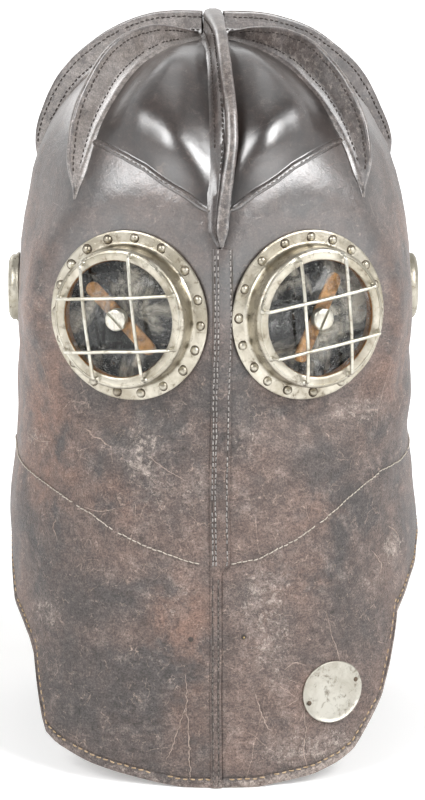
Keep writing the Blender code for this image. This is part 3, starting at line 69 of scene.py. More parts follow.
BACK_HEM = ((92, 1.0), (98, 0.98), (104, 0.92), (112, 0.76), (119, 0.50), (125, 0.29),
            (132, 0.13), (142, 0.03), (152, 0), (180, 0))
LEFT_HEM = ((0, 0), (9.5, 0), (17, 0.02), (24.5, 0.04), (32, 0.08), (37, 0.12), (44.5, 0.25),
            (49, 0.33), (52.5, 0.45), (56, 0.58), (58.5, 0.68), (66, 0.77), (73.5, 0.84),
            (78, 0.90)) + BACK_HEM
RIGHT_HEM = ((0, 0), (9.5, 0), (17, 0.02), (26.5, 0.05), (35, 0.08), (46.5, 0.13), (51, 0.17),
             (54, 0.28), (56.5, 0.41), (58.5, 0.49), (62, 0.56), (66, 0.61), (72.5, 0.68),
             (78.5, 0.80), (85.5, 0.89)) + BACK_HEM
BROW_LOW, BROW_HIGH = 0.352, 0.393
BROW = ((0, 0), (4.5, 0.10), (10, 0.29), (16.5, 0.46), (23.5, 0.66), (31, 0.80),
        (40, 0.93), (48, 1.0), (180, 1.0))
COLLAR_LOW, COLLAR_HIGH = 0.138, 0.190
COLLAR = ((0, 0), (10, 0.03), (19, 0.15), (28, 0.37), (38, 0.58), (51, 0.77), (66, 0.90),
          (85, 1.0), (104, 0.93), (130, 0.66), (155, 0.38), (180, 0.30))
LEFT_COLLAR = ((0, 0), (3.5, 0.01), (11, 0.09), (19, 0.24), (28, 0.45), (38.5, 0.71), (52, 0.93),
               (66, 0.97)) + COLLAR[7:]
RIGHT_COLLAR = ((0, 0), (6, 0.02), (10.5, 0.08), (19, 0.19), (27.5, 0.34), (37.5, 0.54),
                (49.5, 0.71), (62, 0.83)) + COLLAR[7:]
CREST_ANGLE, SIDE_SEAM = 48, 104
WINDOW_SIDE, WINDOW_REACH, WINDOW_HEIGHT, WINDOW_YAW = 0.0540, 0.1235, 0.288, 24.5
FLANGE_RADIUS, DRUM_RADIUS, DRUM_HEIGHT = 0.0519, 0.0428, 0.0175
EAR_HEIGHT, EAR_RADIUS, EAR_SINK = 0.288, 0.0225, 0.0012
GAP, FLANGE_LIFT = 0.0003, 0.0005
SIDES = ((1, "left"), (-1, "right"))


def joint(name):
    return next(item for item in frame["joints"] if item["name"] == name)


SHIFT = (joint("wiper_left_turn")["pos_m"][1] + WINDOW_REACH
         + FLANGE_LIFT * cos(radians(WINDOW_YAW)))


# Form of the shell

def smooth_step(value, low, high):
    share = min(max((value - low) / (high - low), 0), 1)
    return share * share * (3 - 2 * share)


def share_at(table, angle):
    angle = abs(angle)
    for (low, low_share), (high, high_share) in zip(table, table[1:]):
        if angle <= high:
            return low_share + (high_share - low_share) * (angle - low) / (high - low)
    return table[-1][1]


def height_at(latitude):
    if latitude <= 0:
        return SPRING_HEIGHT * (1 + latitude / 90)
    return SPRING_HEIGHT + DOME_RISE * sin(radians(latitude)) ** (2 / DOME_POWER)


def latitude_at(height):
    if height <= SPRING_HEIGHT:
        return 90 * (height / SPRING_HEIGHT - 1)
    return degrees(asin(((height - SPRING_HEIGHT) / DOME_RISE) ** (DOME_POWER / 2)))


def shell_reach(latitude, backward):
    shrink = cos(radians(max(latitude, 0))) ** (2 / DOME_POWER)
    flare = max(0, 1 - height_at(latitude) / FLARE_TOP) ** FLARE_POWER
    width = HALF_WIDTH * shrink + SIDE_FLARE * flare
    if backward:
        return width, BACK_REACH * shrink + BACK_FLARE * flare
    return width, FRONT_REACH * shrink + FRONT_FLARE * flare


def off_window(point):
    """Distance of a point of the shell from the nearer window's axis."""
    across = (abs(point.x) - WINDOW_SIDE) / cos(radians(WINDOW_YAW))
    return hypot(across, point.z - WINDOW_HEIGHT) if point.y < SHIFT else 1


def shell_point(angle, latitude):
    backward = abs(angle) > 90
    width, depth = shell_reach(latitude, backward)
    side = sin(radians(angle))
    x = width * side
    y = depth * max(0, 1 - abs(side) ** SECTION_POWER) ** (1 / SECTION_POWER)
    z = height_at(latitude)
    if not backward:
        y = -y
        across = (abs(x) - WINDOW_SIDE) / cos(radians(WINDOW_YAW))
        off_axis = hypot(across, z - WINDOW_HEIGHT)
        flat = 1 - smooth_step(off_axis, FLANGE_RADIUS + 0.009, FLANGE_RADIUS + 0.033)
        plane = (hypot(x, 0.004) - WINDOW_SIDE) * tan(radians(WINDOW_YAW)) - WINDOW_REACH
        y += flat * (plane - y)
    off_ear = hypot(y, z - EAR_HEIGHT)
    ear_flat = 1 - smooth_step(off_ear, EAR_RADIUS + 0.013, EAR_RADIUS + 0.029)
    if abs(side) > 0.5:
        x += ear_flat * ((HALF_WIDTH - EAR_SINK) * (1 if x > 0 else -1) - x)
    return Vector((x, y + SHIFT, z))


def shell_normal(angle, latitude, step=0.4):
    along = shell_point(angle + step, latitude) - shell_point(angle - step, latitude)
    climb = shell_point(angle, latitude + step) - shell_point(angle, latitude - step)
    return along.cross(climb).normalized()


def lifted(angle, latitude, lift):
    """Point over the plain form of the leather, and the normal there."""
    normal = shell_normal(angle, latitude)
    return shell_point(angle, latitude) + normal * lift, normal


def hem_height(angle):
    return ARCH_HEIGHT * share_at(LEFT_HEM if angle >= 0 else RIGHT_HEM, angle)


def brow_height(angle):
    return BROW_LOW + (BROW_HIGH - BROW_LOW) * share_at(BROW, angle)


def collar_height(angle):
    return COLLAR_LOW + (COLLAR_HIGH - COLLAR_LOW) * share_at(
        LEFT_COLLAR if angle >= 0 else RIGHT_COLLAR, angle)


PUFF, PUFF_START = 0.0135, 0.0016
# How far the swell takes to rise from the centre seam, the crest, the brow and the crown
PUFF_RAMPS = (0.030, 0.036, 0.030, 0.045)


def gore_puff(angle, latitude):
    """Swell of a padded front gore, nil along its edges and fullest low and inward."""
    here = shell_point(angle, latitude)
    crest_angle = CREST_ANGLE if angle > 0 else -CREST_ANGLE
    edges = (shell_point(0, latitude), shell_point(crest_angle, latitude),
             shell_point(angle, latitude_at(brow_height(angle))), shell_point(angle, 87))
    puff = PUFF
    for edge, ramp in zip(edges, PUFF_RAMPS):
        puff *= smooth_step((here - edge).length, PUFF_START, PUFF_START + ramp) ** 0.8
    low = 1 - smooth_step(here.z, 0.370, 0.425)
    fold = noise.noise(here * 34 + Vector((9.3, 0, 0))) * 0.0016
    return puff * (0.72 + 0.42 * low) + fold * smooth_step(puff, 0.001, 0.005)


# Where the worn shell leans in or out of true: side, height, reach up and down, and how far
LEANS = ((-1, 0.350, 0.034, -0.0028), (-1, 0.150, 0.045, 0.0024), (1, 0.226, 0.030, 0.0022),
         (1, 0.376, 0.024, 0.0020))
# The mean of the dents, taken off so that the leather keeps its place
MEAN_DENT = 0.0004


def waves(point):
    """Small dents and folds of old leather, faded out where metal sits on it."""
    lean = 0.0
    for side, height, reach, depth in LEANS:
        outward = smooth_step(point.x * side, 0.070, 0.120)
        lean += depth * outward * (1 - smooth_step(abs(point.z - height), 0, reach))
    slow = noise.noise(point * 17 + Vector((3.1, 0, 0))) * 0.0022
    quick = noise.noise(point * 48 + Vector((0, 7.7, 0))) * 0.0007
    fade = smooth_step(off_window(point), FLANGE_RADIUS, FLANGE_RADIUS + 0.020)
    off_ear = hypot(point.y - SHIFT, point.z - EAR_HEIGHT)
    if abs(point.x) > HALF_WIDTH / 2:
        fade *= smooth_step(off_ear, EAR_RADIUS, EAR_RADIUS + 0.014)
    if point.y > SHIFT:
        off_tank = max(abs(point.z - 0.085) - 0.055, 0)
        fade *= 0.15 + 0.85 * smooth_step(off_tank, 0, 0.02)
    return (slow + quick + lean - MEAN_DENT) * fade


def skin(angle, latitude, lift=0.0):
    """Point of the visible leather, with its dents and padding."""
    point = shell_point(angle, latitude)
    rise = waves(point)
    if abs(angle) < CREST_ANGLE and point.z > brow_height(angle):
        rise += gore_puff(angle, latitude)
    return point + shell_normal(angle, latitude) * (rise + lift)


def angle_at_side(side, latitude, backward=False):
    width = shell_reach(latitude, backward)[0]
    angle = degrees(asin(max(-1, min(1, side / width))))
    return 180 - angle if backward else angle


def at(side, height, backward=False, lift=0.0):
    """Point over the leather at a side distance and a height."""
    latitude = latitude_at(height)
    return skin(angle_at_side(side, latitude, backward), latitude, lift)


def surface_route(stops, lift):
    """(Point, normal) over the dented leather at each (angle, latitude)."""
    route = []
    for angle, latitude in stops:
        point = shell_point(angle, latitude)
        normal = shell_normal(angle, latitude)
        route.append((point + normal * (lift + waves(point)), normal))
    return route


# Materials

class Tree:
    """Short names for building the nodes of a material or the world."""

    def __init__(self, name, owner=None):
        self.owner = owner or bpy.data.materials.new(name)
        self.owner.use_nodes = True
        self.nodes = self.owner.node_tree.nodes
        self.links = self.owner.node_tree.links
        self.places = self.nodes.new("ShaderNodeTexCoord").outputs
        self.place = self.places["Object"]

    def put(self, socket, value):
        if hasattr(value, "is_output"):
            self.links.new(value, socket)
        elif isinstance(value, tuple) and len(value) == 3 and socket.type == "RGBA":
            socket.default_value = (*value, 1)
        else:
            socket.default_value = value

    def add(self, kind, output, **inputs):
        node = self.nodes.new("ShaderNode" + kind)
        for key, value in inputs.items():
            if key.startswith("set_"):
                setattr(node, key[4:], value)
        for key, value in inputs.items():
            if not key.startswith("set_"):
                key = int(key[1:]) if key[1:].isdigit() else key.replace("_", " ")
                self.put(node.inputs[key], value)
        return node.outputs[output]

    def noise(self, scale, detail=3.0, rough=0.55, warp=0.0, stretch=None, out="Fac"):
        place = self.place
        if stretch:
            place = self.add("VectorMath", 0, set_operation="MULTIPLY", i0=place, i1=stretch)
        return self.add("TexNoise", out, Vector=place, Scale=scale, Detail=detail,
                        Roughness=rough, Distortion=warp)

    def ramp(self, value, low, high, to_low=0.0, to_high=1.0):
        return self.add("MapRange", 0, Value=value, From_Min=low, From_Max=high,
                        To_Min=to_low, To_Max=to_high)

    def mix(self, factor, first, second):
        return self.add("Mix", 2, set_data_type="RGBA", i0=factor, i6=first, i7=second)

    def sum(self, first, second, operation="ADD"):
        return self.add("Math", 0, set_operation=operation, i0=first, i1=second)

    def times(self, first, second):
        return self.sum(first, second, "MULTIPLY")

    def most(self, first, second):
        return self.sum(first, second, "MAXIMUM")

    def bump(self, height, distance, strength=1.0, normal=None):
        under = {"Normal": normal} if normal else {}
        return self.add("Bump", 0, Height=height, Distance=distance, Strength=strength, **under)

    def rays(self):
        return self.nodes.new("ShaderNodeLightPath").outputs

    def done(self, **inputs):
        for key, value in inputs.items():
            self.put(self.nodes["Principled BSDF"].inputs[key.replace("_", " ")], value)
        return self.owner


def scratches(tree, scale, stretch, width, seed, low=0.54, high=0.62):
    """Thin lines: the borders of stretched, wobbly cells, broken up by noise."""
    wobble = tree.noise(scale * 1.3, 3, 0.6, 0, None, "Color")
    place = tree.add("VectorMath", 0, set_operation="MULTIPLY_ADD", i0=wobble,
                     i1=(0.012, 0.012, 0.012), i2=tree.place)
    place = tree.add("Mapping", 0, Vector=place, Rotation=(seed, seed * 2, seed * 3), Scale=stretch)
    cells = tree.add("TexVoronoi", "Distance", set_feature="DISTANCE_TO_EDGE", Vector=place,
                     Scale=scale)
    line = tree.ramp(cells, 0, width, 1, 0)
    gate = tree.ramp(tree.noise(scale * 1.1 + seed, 4, 0.65), low, high)
    return tree.times(line, gate)


LINE_COLOUR, FLAKE_AND_SHEEN_COLOUR = (0.42, 0.32, 0.265), (0.38, 0.325, 0.285)


def leather_material(name, slate, brown, dusty_and_sheen, rusty, gloss, grain, marks, coat_ior):
    """Worn leather; its attribute holds reddish, scuff, dark, polish and, on crests, painted sheen.
    """
    tree = Tree(name)
    paint = tree.nodes.new("ShaderNodeAttribute")
    paint.attribute_name = "wear"
    split = tree.nodes.new("ShaderNodeSeparateColor")
    tree.links.new(paint.outputs["Color"], split.inputs[0])
    # On the crests the scuff share also holds painted sheen and edge highlight
    reddish, scuffed_and_sheen, darker = split.outputs
    polished = paint.outputs["Alpha"]
    large = tree.noise(10, 4, 0.55, 0.5)
    middle = tree.noise(33, 6, 0.64, 0.4)
    small = tree.noise(90, 7, 0.76)
    speck = tree.noise(900, 3, 0.80)
    grit = tree.noise(300, 6, 0.74, 0.6, (0.55, 0.55, 1))

    # Ground colour, then dust, reddish and dark places
    tone = tree.sum(large, tree.times(middle, 0.9))
    colour = tree.mix(tree.ramp(tone, 0.76, 1.14), slate, brown)
    colour = tree.mix(tree.ramp(small, 0.52, 0.74, 0, 0.50), colour, dusty_and_sheen)
    colour = tree.mix(tree.times(reddish, tree.ramp(middle, 0.36, 0.58)), colour, rusty)
    colour = tree.mix(tree.times(darker, tree.ramp(small, 0.36, 0.62, 1.0, 0.55)), colour, slate)

    # Scratches, flakes and haze, which on the crests also paint sheen
    networks = tree.most(scratches(tree, 62, (1, 1, 0.75), 0.016, 2.2, 0.53, 0.60),
                         scratches(tree, 118, (0.8, 1, 1), 0.026, 0.9, 0.52, 0.62))
    long_lines = tree.most(scratches(tree, 17, (1, 1, 0.30), 0.0040, 0.4, 0.56, 0.60),
                           scratches(tree, 27, (0.35, 1, 1), 0.0050, 1.3, 0.57, 0.61))
    lines = tree.times(tree.most(tree.times(long_lines, 0.72), tree.times(networks, 0.62)), marks)
    colour = tree.mix(lines, colour, LINE_COLOUR)
    flakes_and_sheen = tree.sum(tree.noise(230, 8, 0.82, 0.3), tree.times(scuffed_and_sheen, 0.16))
    flakes_and_sheen = tree.times(tree.ramp(flakes_and_sheen, 0.615, 0.66), tree.ramp(scuffed_and_sheen, 0.02, 0.25))
    colour = tree.mix(tree.times(flakes_and_sheen, 0.75), colour, FLAKE_AND_SHEEN_COLOUR)
    dust_and_sheen = tree.times(tree.ramp(small, 0.40, 0.62, 0.10, 0.55), scuffed_and_sheen)
    colour = tree.mix(dust_and_sheen, colour, dusty_and_sheen)

    # Fine light and dark grain, its light specks partly painted glints; deeper where polished
    grain_and_glints = tree.times(tree.ramp(speck, 0.34, 0.66, 0.52, 1.50),
                       tree.ramp(grit, 0.36, 0.66, 0.70, 1.27))
    grain_and_glints = tree.times(tree.times(grain_and_glints, tree.ramp(small, 0.34, 0.68, 0.84, 1.18)),
                       tree.sum(1, tree.times(polished, 0.52), "SUBTRACT"))
    colour = tree.add("VectorMath", 0, set_operation="SCALE", i0=colour, i3=grain_and_glints)

    # Relief, calmer where the leather is polished
    calm = tree.ramp(polished, 0, 1, 1.0, 0.35)
    relief = tree.sum(speck, tree.times(lines, -0.7))
    normal = tree.bump(relief, 0.00032 * grain, tree.times(calm, 0.9))
    normal = tree.bump(small, 0.0011 * grain, tree.times(calm, 0.6), normal)
    normal = tree.bump(middle, 0.0030 * grain, tree.times(calm, 0.6), normal)
    rough = tree.ramp(small, 0.3, 0.7, gloss - 0.07, gloss + 0.13)
    rough = tree.sum(rough, tree.times(polished, -0.14))
    rough = tree.sum(rough, tree.times(scuffed_and_sheen, 0.20))
    return tree.done(Base_Color=colour, Roughness=rough, Normal=normal, Specular_IOR_Level=0.38,
                     Coat_Weight=polished, Coat_IOR=coat_ior,
                     Coat_Roughness=0.31, Coat_Normal=normal)


def metal_material(name, light, dull, dark_patch, rough=0.30, metallic=1.0):
    tree = Tree(name)
    broad = tree.noise(38, 5, 0.65, 0.8)
    spots = tree.noise(170, 6, 0.72, 0.4)
    colour = tree.mix(tree.ramp(broad, 0.40, 0.60), light, dull)
    colour = tree.mix(tree.ramp(spots, 0.54, 0.68, 0, 0.85), colour, dark_patch)
    marks = scratches(tree, 95, (1, 1, 0.25), 0.035, 0.7)
    colour = tree.mix(tree.times(marks, 0.45), colour, light)
    roughness = tree.ramp(spots, 0.35, 0.70, rough, rough + 0.25)
    relief = tree.sum(tree.noise(55, 4, 0.6), tree.times(spots, 0.25))
    normal = tree.bump(tree.sum(relief, tree.times(marks, -0.10)), 0.0012, 0.55)
    return tree.done(Base_Color=colour, Roughness=roughness, Normal=normal, Metallic=metallic)


def plain_material(name, first, second, scale, rough, relief=0.0003):
    tree = Tree(name)
    grain = tree.noise(scale, 5, 0.65)
    colour = tree.mix(tree.ramp(grain, 0.35, 0.68), first, second)
    normal = tree.bump(tree.noise(scale * 2.2, 4, 0.7), relief, 0.9)
    roughness = tree.ramp(grain, 0.3, 0.7, rough - 0.06, rough + 0.08)
    return tree.done(Base_Color=colour, Roughness=roughness, Normal=normal)


def glass_material(name, grime, low, high):
    tree = Tree(name)
    dirt = tree.ramp(tree.noise(46, 8, 0.80, 0.8), low, high, 0, 0.8)
    marks = tree.most(scratches(tree, 70, (1, 1, 0.3), 0.012, 1.1),
                     scratches(tree, 130, (0.4, 1, 1), 0.016, 0.2))
    specks = tree.ramp(tree.noise(700, 2, 0.5), 0.66, 0.72)
    dirt = tree.most(dirt, tree.times(marks, 0.5))
    dirt = tree.most(dirt, tree.times(specks, 0.7))
    colour = tree.mix(dirt, (0.95, 0.96, 0.95), grime)
    clear = tree.ramp(dirt, 0, 1, 1.0, 0.45)
    return tree.done(Base_Color=colour, Roughness=tree.ramp(dirt, 0, 1, 0.0, 0.07),
                     Transmission_Weight=clear, IOR=1.3)


def dark_pane_material(name, low, high, warp):
    """Inner pane with nothing but darkness behind it: painted black shade, clouded with pale dirt.
    """
    tree = Tree(name)
    cloud = tree.ramp(tree.noise(21, 5, 0.60, warp), low, high)
    streak = tree.noise(75, 7, 0.78, 0.5)
    cloud = tree.times(cloud, tree.ramp(streak, 0.42, 0.57, 0.10, 1.0))
    specks = tree.ramp(tree.noise(620, 3, 0.7), 0.60, 0.70, 0, 0.45)
    # Near black is the painted shade of the helmet's inside; the pale colour is dirt
    colour = tree.mix(cloud, (0.003, 0.003, 0.004), (0.50, 0.455, 0.385))
    colour = tree.mix(tree.ramp(streak, 0.60, 0.70, 0, 0.6), colour, (0.24, 0.13, 0.06))
    colour = tree.mix(specks, colour, (0.36, 0.34, 0.30))
    return tree.done(Base_Color=colour, Roughness=tree.ramp(cloud, 0, 1, 0.25, 0.7),
                     Specular_IOR_Level=0.15)


leather = leather_material(
    "leather_look", (0.080, 0.071, 0.068), (0.168, 0.123, 0.106), (0.315, 0.262, 0.236),
    (0.205, 0.128, 0.100), 0.44, 1.0, 1.0, 2.0)
gloss_leather = leather_material(
    "gore_leather", (0.024, 0.021, 0.021), (0.064, 0.048, 0.042), (0.130, 0.105, 0.094),
    (0.090, 0.052, 0.040), 0.32, 0.5, 0.6, 2.1)
# The crests' pale dust colour also gives the painted sheen of their faces and edges
crest_leather = leather_material(
    "crest_leather", (0.046, 0.039, 0.038), (0.106, 0.078, 0.067), (0.380, 0.340, 0.325),
    (0.135, 0.082, 0.064), 0.34, 0.4, 0.4, 2.1)
raw_leather = plain_material(
    "inner_leather", (0.150, 0.105, 0.075), (0.250, 0.185, 0.140), 210, 0.85)
torn_leather = plain_material(
    "torn_leather", (0.25, 0.185, 0.150), (0.46, 0.375, 0.325), 420, 0.8)
groove = plain_material(
    "stitch_groove", (0.034, 0.028, 0.025), (0.080, 0.064, 0.056), 300, 0.8)
strip_thread = plain_material(
    "strip_thread", (0.150, 0.142, 0.136), (0.470, 0.440, 0.415), 380, 0.85, 0.0002)
thread = plain_material(
    "grey_thread", (0.085, 0.075, 0.070), (0.260, 0.230, 0.205), 420, 0.85, 0.0002)
pale_thread = plain_material(
    "pale_thread", (0.42, 0.37, 0.31), (0.66, 0.60, 0.52), 700, 0.85, 0.0002)
gold_thread = plain_material(
    "gold_thread", (0.34, 0.235, 0.135), (0.62, 0.47, 0.30), 420, 0.8, 0.0002)
nickel = metal_material(
    "nickel_look", (0.56, 0.525, 0.445), (0.37, 0.335, 0.265), (0.15, 0.12, 0.085), 0.27)
wire_metal = metal_material(
    "guard_nickel", (0.66, 0.64, 0.57), (0.50, 0.47, 0.39), (0.26, 0.22, 0.16), 0.24)
tank_metal = metal_material(
    "tank_nickel", (0.62, 0.60, 0.53), (0.48, 0.45, 0.37), (0.20, 0.17, 0.11), 0.30)
plate_metal = metal_material(
    "plate_nickel", (0.57, 0.55, 0.49), (0.44, 0.415, 0.355), (0.17, 0.145, 0.11), 0.34)
ear_metal = metal_material(
    "ear_nickel", (0.50, 0.47, 0.40), (0.36, 0.33, 0.26), (0.15, 0.12, 0.08), 0.34)
brass = metal_material(
    "brass_look", (0.66, 0.50, 0.25), (0.46, 0.34, 0.17), (0.16, 0.12, 0.07), 0.30)
steel = metal_material(
    "blue_steel", (0.10, 0.11, 0.14), (0.06, 0.065, 0.08), (0.10, 0.06, 0.04), 0.28)
felt = plain_material("felt_look", (0.20, 0.095, 0.036), (0.74, 0.40, 0.165), 150, 0.95, 0.0012)
wool = plain_material("wool_look", (0.36, 0.31, 0.24), (0.54, 0.48, 0.38), 260, 0.95, 0.0010)
enamel = plain_material("enamel_look", (0.80, 0.78, 0.71), (0.66, 0.62, 0.52), 60, 0.35, 0.0001)
rust = metal_material(
    "rusty_brass", (0.50, 0.26, 0.09), (0.34, 0.15, 0.05), (0.12, 0.05, 0.02), 0.55, 0.5)
rivet_metal = metal_material(
    "rivet_nickel", (0.56, 0.53, 0.45), (0.36, 0.325, 0.26), (0.15, 0.11, 0.075), 0.30)
# Dark colour of the plate's pin heads, and painted contact shadow round the window rivets
grime = plain_material("rivet_grime", (0.045, 0.036, 0.027), (0.120, 0.085, 0.055), 300, 0.75)
ink = plain_material("dial_ink", (0.020, 0.020, 0.022), (0.040, 0.038, 0.036), 200, 0.5)
pane = glass_material("pane_look", (0.55, 0.53, 0.48), 0.56, 0.74)
back_panes = {1: dark_pane_material("left_inner_pane", 0.45, 0.58, 1.1),
              -1: dark_pane_material("right_inner_pane", 0.50, 0.60, 0.8)}
dial_pane = glass_material("dial_pane_look", (0.7, 0.7, 0.66), 0.70, 0.95)


# Mesh building

def linked(name, data):
    item = bpy.data.objects.new(name, data)
    bpy.context.scene.collection.objects.link(item)
    return item


def outward_mesh(name, part):
    """Mesh from (vertices, faces) with its faces turned outward."""
    vertices, faces = part
    mesh = bpy.data.meshes.new(name)
    mesh.from_pydata([tuple(point) for point in vertices], [], faces)
    tidy = bmesh.new()
    tidy.from_mesh(mesh)
    bmesh.ops.recalc_face_normals(tidy, faces=tidy.faces)
    tidy.to_mesh(mesh)
    tidy.free()
    return mesh


def piece(name, part, material, body="shell", nodes=(), smooth=35):
    """Object from (vertices, faces) that rides on a body and stands for CAD nodes."""
    mesh = outward_mesh(name, part)
    mesh.materials.append(material)
    mesh.shade_smooth()
    mesh.set_sharp_from_angle(angle=radians(smooth))
    item = linked(name, mesh)
    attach(item, body)
    if nodes:
        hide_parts(*nodes)
    return item


def applied(item):
    """Replace the mesh of an item by what its modifiers make of it."""
    bpy.context.view_layer.update()
    graph = bpy.context.evaluated_depsgraph_get()
    result = bpy.data.meshes.new_from_object(item.evaluated_get(graph))
    item.modifiers.clear()
    old = item.data
    item.data = result
    bpy.data.meshes.remove(old)


def cut(item, part):
    """Cut a closed form out of a piece."""
    helper = linked("cutter", outward_mesh("cutter", part))
    modifier = item.modifiers.new("Cut", "BOOLEAN")
    modifier.operation = "DIFFERENCE"
    modifier.solver = "EXACT"
    modifier.object = helper
    applied(item)
    bpy.data.objects.remove(helper)
    item.data.set_sharp_from_angle(angle=radians(35))


def merged(parts):
    vertices, faces = [], []
    for part_vertices, part_faces in parts:
        start = len(vertices)
        vertices += part_vertices
        faces += [[start + index for index in face] for face in part_faces]
    return vertices, faces


def moved(part, matrix):
    return [matrix @ point for point in part[0]], part[1]


def loft(sections, closed=False):
    count = len(sections[0])
    vertices = [point for section in sections for point in section]
    faces = []
    for span in range(len(sections) if closed else len(sections) - 1):
        near = span * count
        far = (span + 1) % len(sections) * count
        for index in range(count):
            after = (index + 1) % count
            faces.append([near + index, near + after, far + after, far + index])
    if not closed:
        faces.append(list(range(count - 1, -1, -1)))
        faces.append(list(range(len(vertices) - count, len(vertices))))
    return vertices, faces


def full_turn(steps):
    """Turns of evenly spaced points on a circle."""
    return [2 * pi * step / steps for step in range(steps)]


def circle(radius, level, steps):
    return [Vector((radius * cos(turn), radius * sin(turn), level)) for turn in full_turn(steps)]


def square_ended(corners, levels):
    """Straight bar: the same outline at each level."""
    return loft([[Vector((x, y, level)) for x, y in corners] for level in levels])


def revolve(profile, segments=96):
    vertices, rings = [], []
    for radius, level in profile:
        if radius == 0:
            rings.append([len(vertices)] * segments)
            vertices.append(Vector((0, 0, level)))
            continue
        rings.append(list(range(len(vertices), len(vertices) + segments)))
        vertices += circle(radius, level, segments)
    faces = []
    for near, far in zip(rings, rings[1:] + rings[:1]):
        for step in range(segments):
            after = (step + 1) % segments
            face = []
            for index in (near[step], near[after], far[after], far[step]):
                if index not in face:
                    face.append(index)
            if len(face) > 2:
                faces.append(face)
    return vertices, faces


def softened(profile, radius, steps=3):
    """Closed profile with its corners rounded, apart from those on the axis."""
    points = [Vector(point) for point in profile]
    result = []
    for index, point in enumerate(points):
        before, after = points[index - 1], points[(index + 1) % len(points)]
        back, ahead = before - point, after - point
        reach = min(radius, back.length * 0.45, ahead.length * 0.45)
        if point.x == 0 or reach < 0.00002:
            result.append(tuple(point))
            continue
        start = point + back.normalized() * reach
        stop = point + ahead.normalized() * reach
        for step in range(steps + 1):
            t = step / steps
            result.append(tuple(start * (1 - t) ** 2 + point * 2 * t * (1 - t) + stop * t ** 2))
    return result


def tube(path, radius, sides=12, closed=False):
    """Round tube along points; radius may be a list, one value a point."""
    sections, across = [], None
    for index, point in enumerate(path):
        if closed:
            ahead = path[(index + 1) % len(path)] - path[index - 1]
        else:
            ahead = path[min(index + 1, len(path) - 1)] - path[max(index - 1, 0)]
        ahead.normalize()
        if across is None:
            across = ahead.orthogonal().normalized()
        across = (across - ahead * across.dot(ahead)).normalized()
        upward = ahead.cross(across)
        size = radius[index] if isinstance(radius, list) else radius
        sections.append([point + across * (size * cos(2 * pi * side / sides))
                         + upward * (size * sin(2 * pi * side / sides)) for side in range(sides)])
    return loft(sections, closed)


def smooth_route(points, steps):
    ends = [points[0] * 2 - points[1]] + points + [points[-1] * 2 - points[-2]]
    route = []
    for before, start, stop, after in zip(ends, ends[1:], ends[2:], ends[3:]):
        for step in range(steps):
            t = step / steps
            route.append(0.5 * (start * 2 + (stop - before) * t
                                + (before * 2 - start * 5 + stop * 4 - after) * t ** 2
                                + (start * 3 - before - stop * 3 + after) * t ** 3))
    return route + [points[-1].copy()]


def dome(radius, height, base=0.0, segments=20):
    """Round rivet head with a small shoulder, sunk a little below its base."""
    profile = [(0, base - 0.0005), (radius, base - 0.0005), (radius, base + height * 0.16),
               (radius * 0.96, base + height * 0.36), (radius * 0.84, base + height * 0.62),
               (radius * 0.62, base + height * 0.84), (radius * 0.32, base + height * 0.97),
               (0, base + height)]
    return revolve(profile, segments)


def axis_frame(origin, axis):
    axis = Vector(axis).normalized()
    across = Vector((0, 0, 1)).cross(axis).normalized()
    result = Matrix((across, axis.cross(across), axis)).transposed().to_4x4()
    result.translation = origin
    return result


def spin(turn):
    return Matrix.Rotation(radians(turn), 4, "Z")


def spun(profile, seat, segments=96):
    """Turned form on a seat."""
    return moved(revolve(profile, segments), seat)


def shift(x, y, z=0.0):
    return Matrix.Translation((x, y, z))


# Leather panels

def fine_angles():
    """Column angles of one side, closer together beside the seams."""
    seams = (0, CREST_ANGLE, SIDE_SEAM, 180)
    angles = []
    for low, high in zip(seams, seams[1:]):
        inner = [low, low + 0.35, low + 1.0]
        count = round((high - low - 2) / 1.6)
        inner += [low + 1 + (high - low - 2) * step / count for step in range(1, count)]
        angles += inner + [high - 1.0, high - 0.35]
    return angles + [180]


ANGLES = fine_angles()
# Rows over the hem: degrees above it and how far each stands out, for the turned edge
HEM_ROWS = ((2.6, 0), (2.1, 0), (1.88, -0.0002), (1.68, -0.0007), (1.48, -0.0002), (1.15, 0.0004),
            (0.7, 0.0005), (0.3, 0.0003), (0.1, -0.0003), (0, -0.0009))
CROWN_ROWS, BROW_ROWS, WALL_ROWS = 26, 9, 74 + len(HEM_ROWS)
CREST_COLUMN, SEAM_COLUMN = ANGLES.index(CREST_ANGLE), ANGLES.index(SIDE_SEAM)


def rows_at(angle):
    """Latitudes from the crown to the hem, closer together beside seam and hem."""
    brow = latitude_at(brow_height(angle))
    crown = [88.0, 86.5] + [86.5 + (brow + 0.9 - 86.5) * step / (CROWN_ROWS - 4)
                            for step in range(1, CROWN_ROWS - 3)]
    crown += [brow + 0.9, brow + 0.25]
    hem = latitude_at(hem_height(angle))
    below = [brow, brow - 0.25, brow - 0.9]
    below += [(brow - 0.9) * (1 - step / (BROW_ROWS - 3)) for step in range(1, BROW_ROWS - 3)]
    plain = WALL_ROWS - len(HEM_ROWS) + 2
    wall = [(hem + HEM_ROWS[0][0]) * step / plain for step in range(plain)]
    return crown + below + wall + [hem + rise for rise, stand in HEM_ROWS]


def window_frame(side):
    """Frame on the flange's seat, local Z out of the window."""
    yaw = radians(WINDOW_YAW)
    axis = Vector((side * sin(yaw), -cos(yaw), 0))
    seat = Vector((side * WINDOW_SIDE, SHIFT - WINDOW_REACH, WINDOW_HEIGHT))
    return axis_frame(seat + axis * FLANGE_LIFT, axis)


WINDOW_HOLE, EAR_HOLE = 0.0415, 0.0152


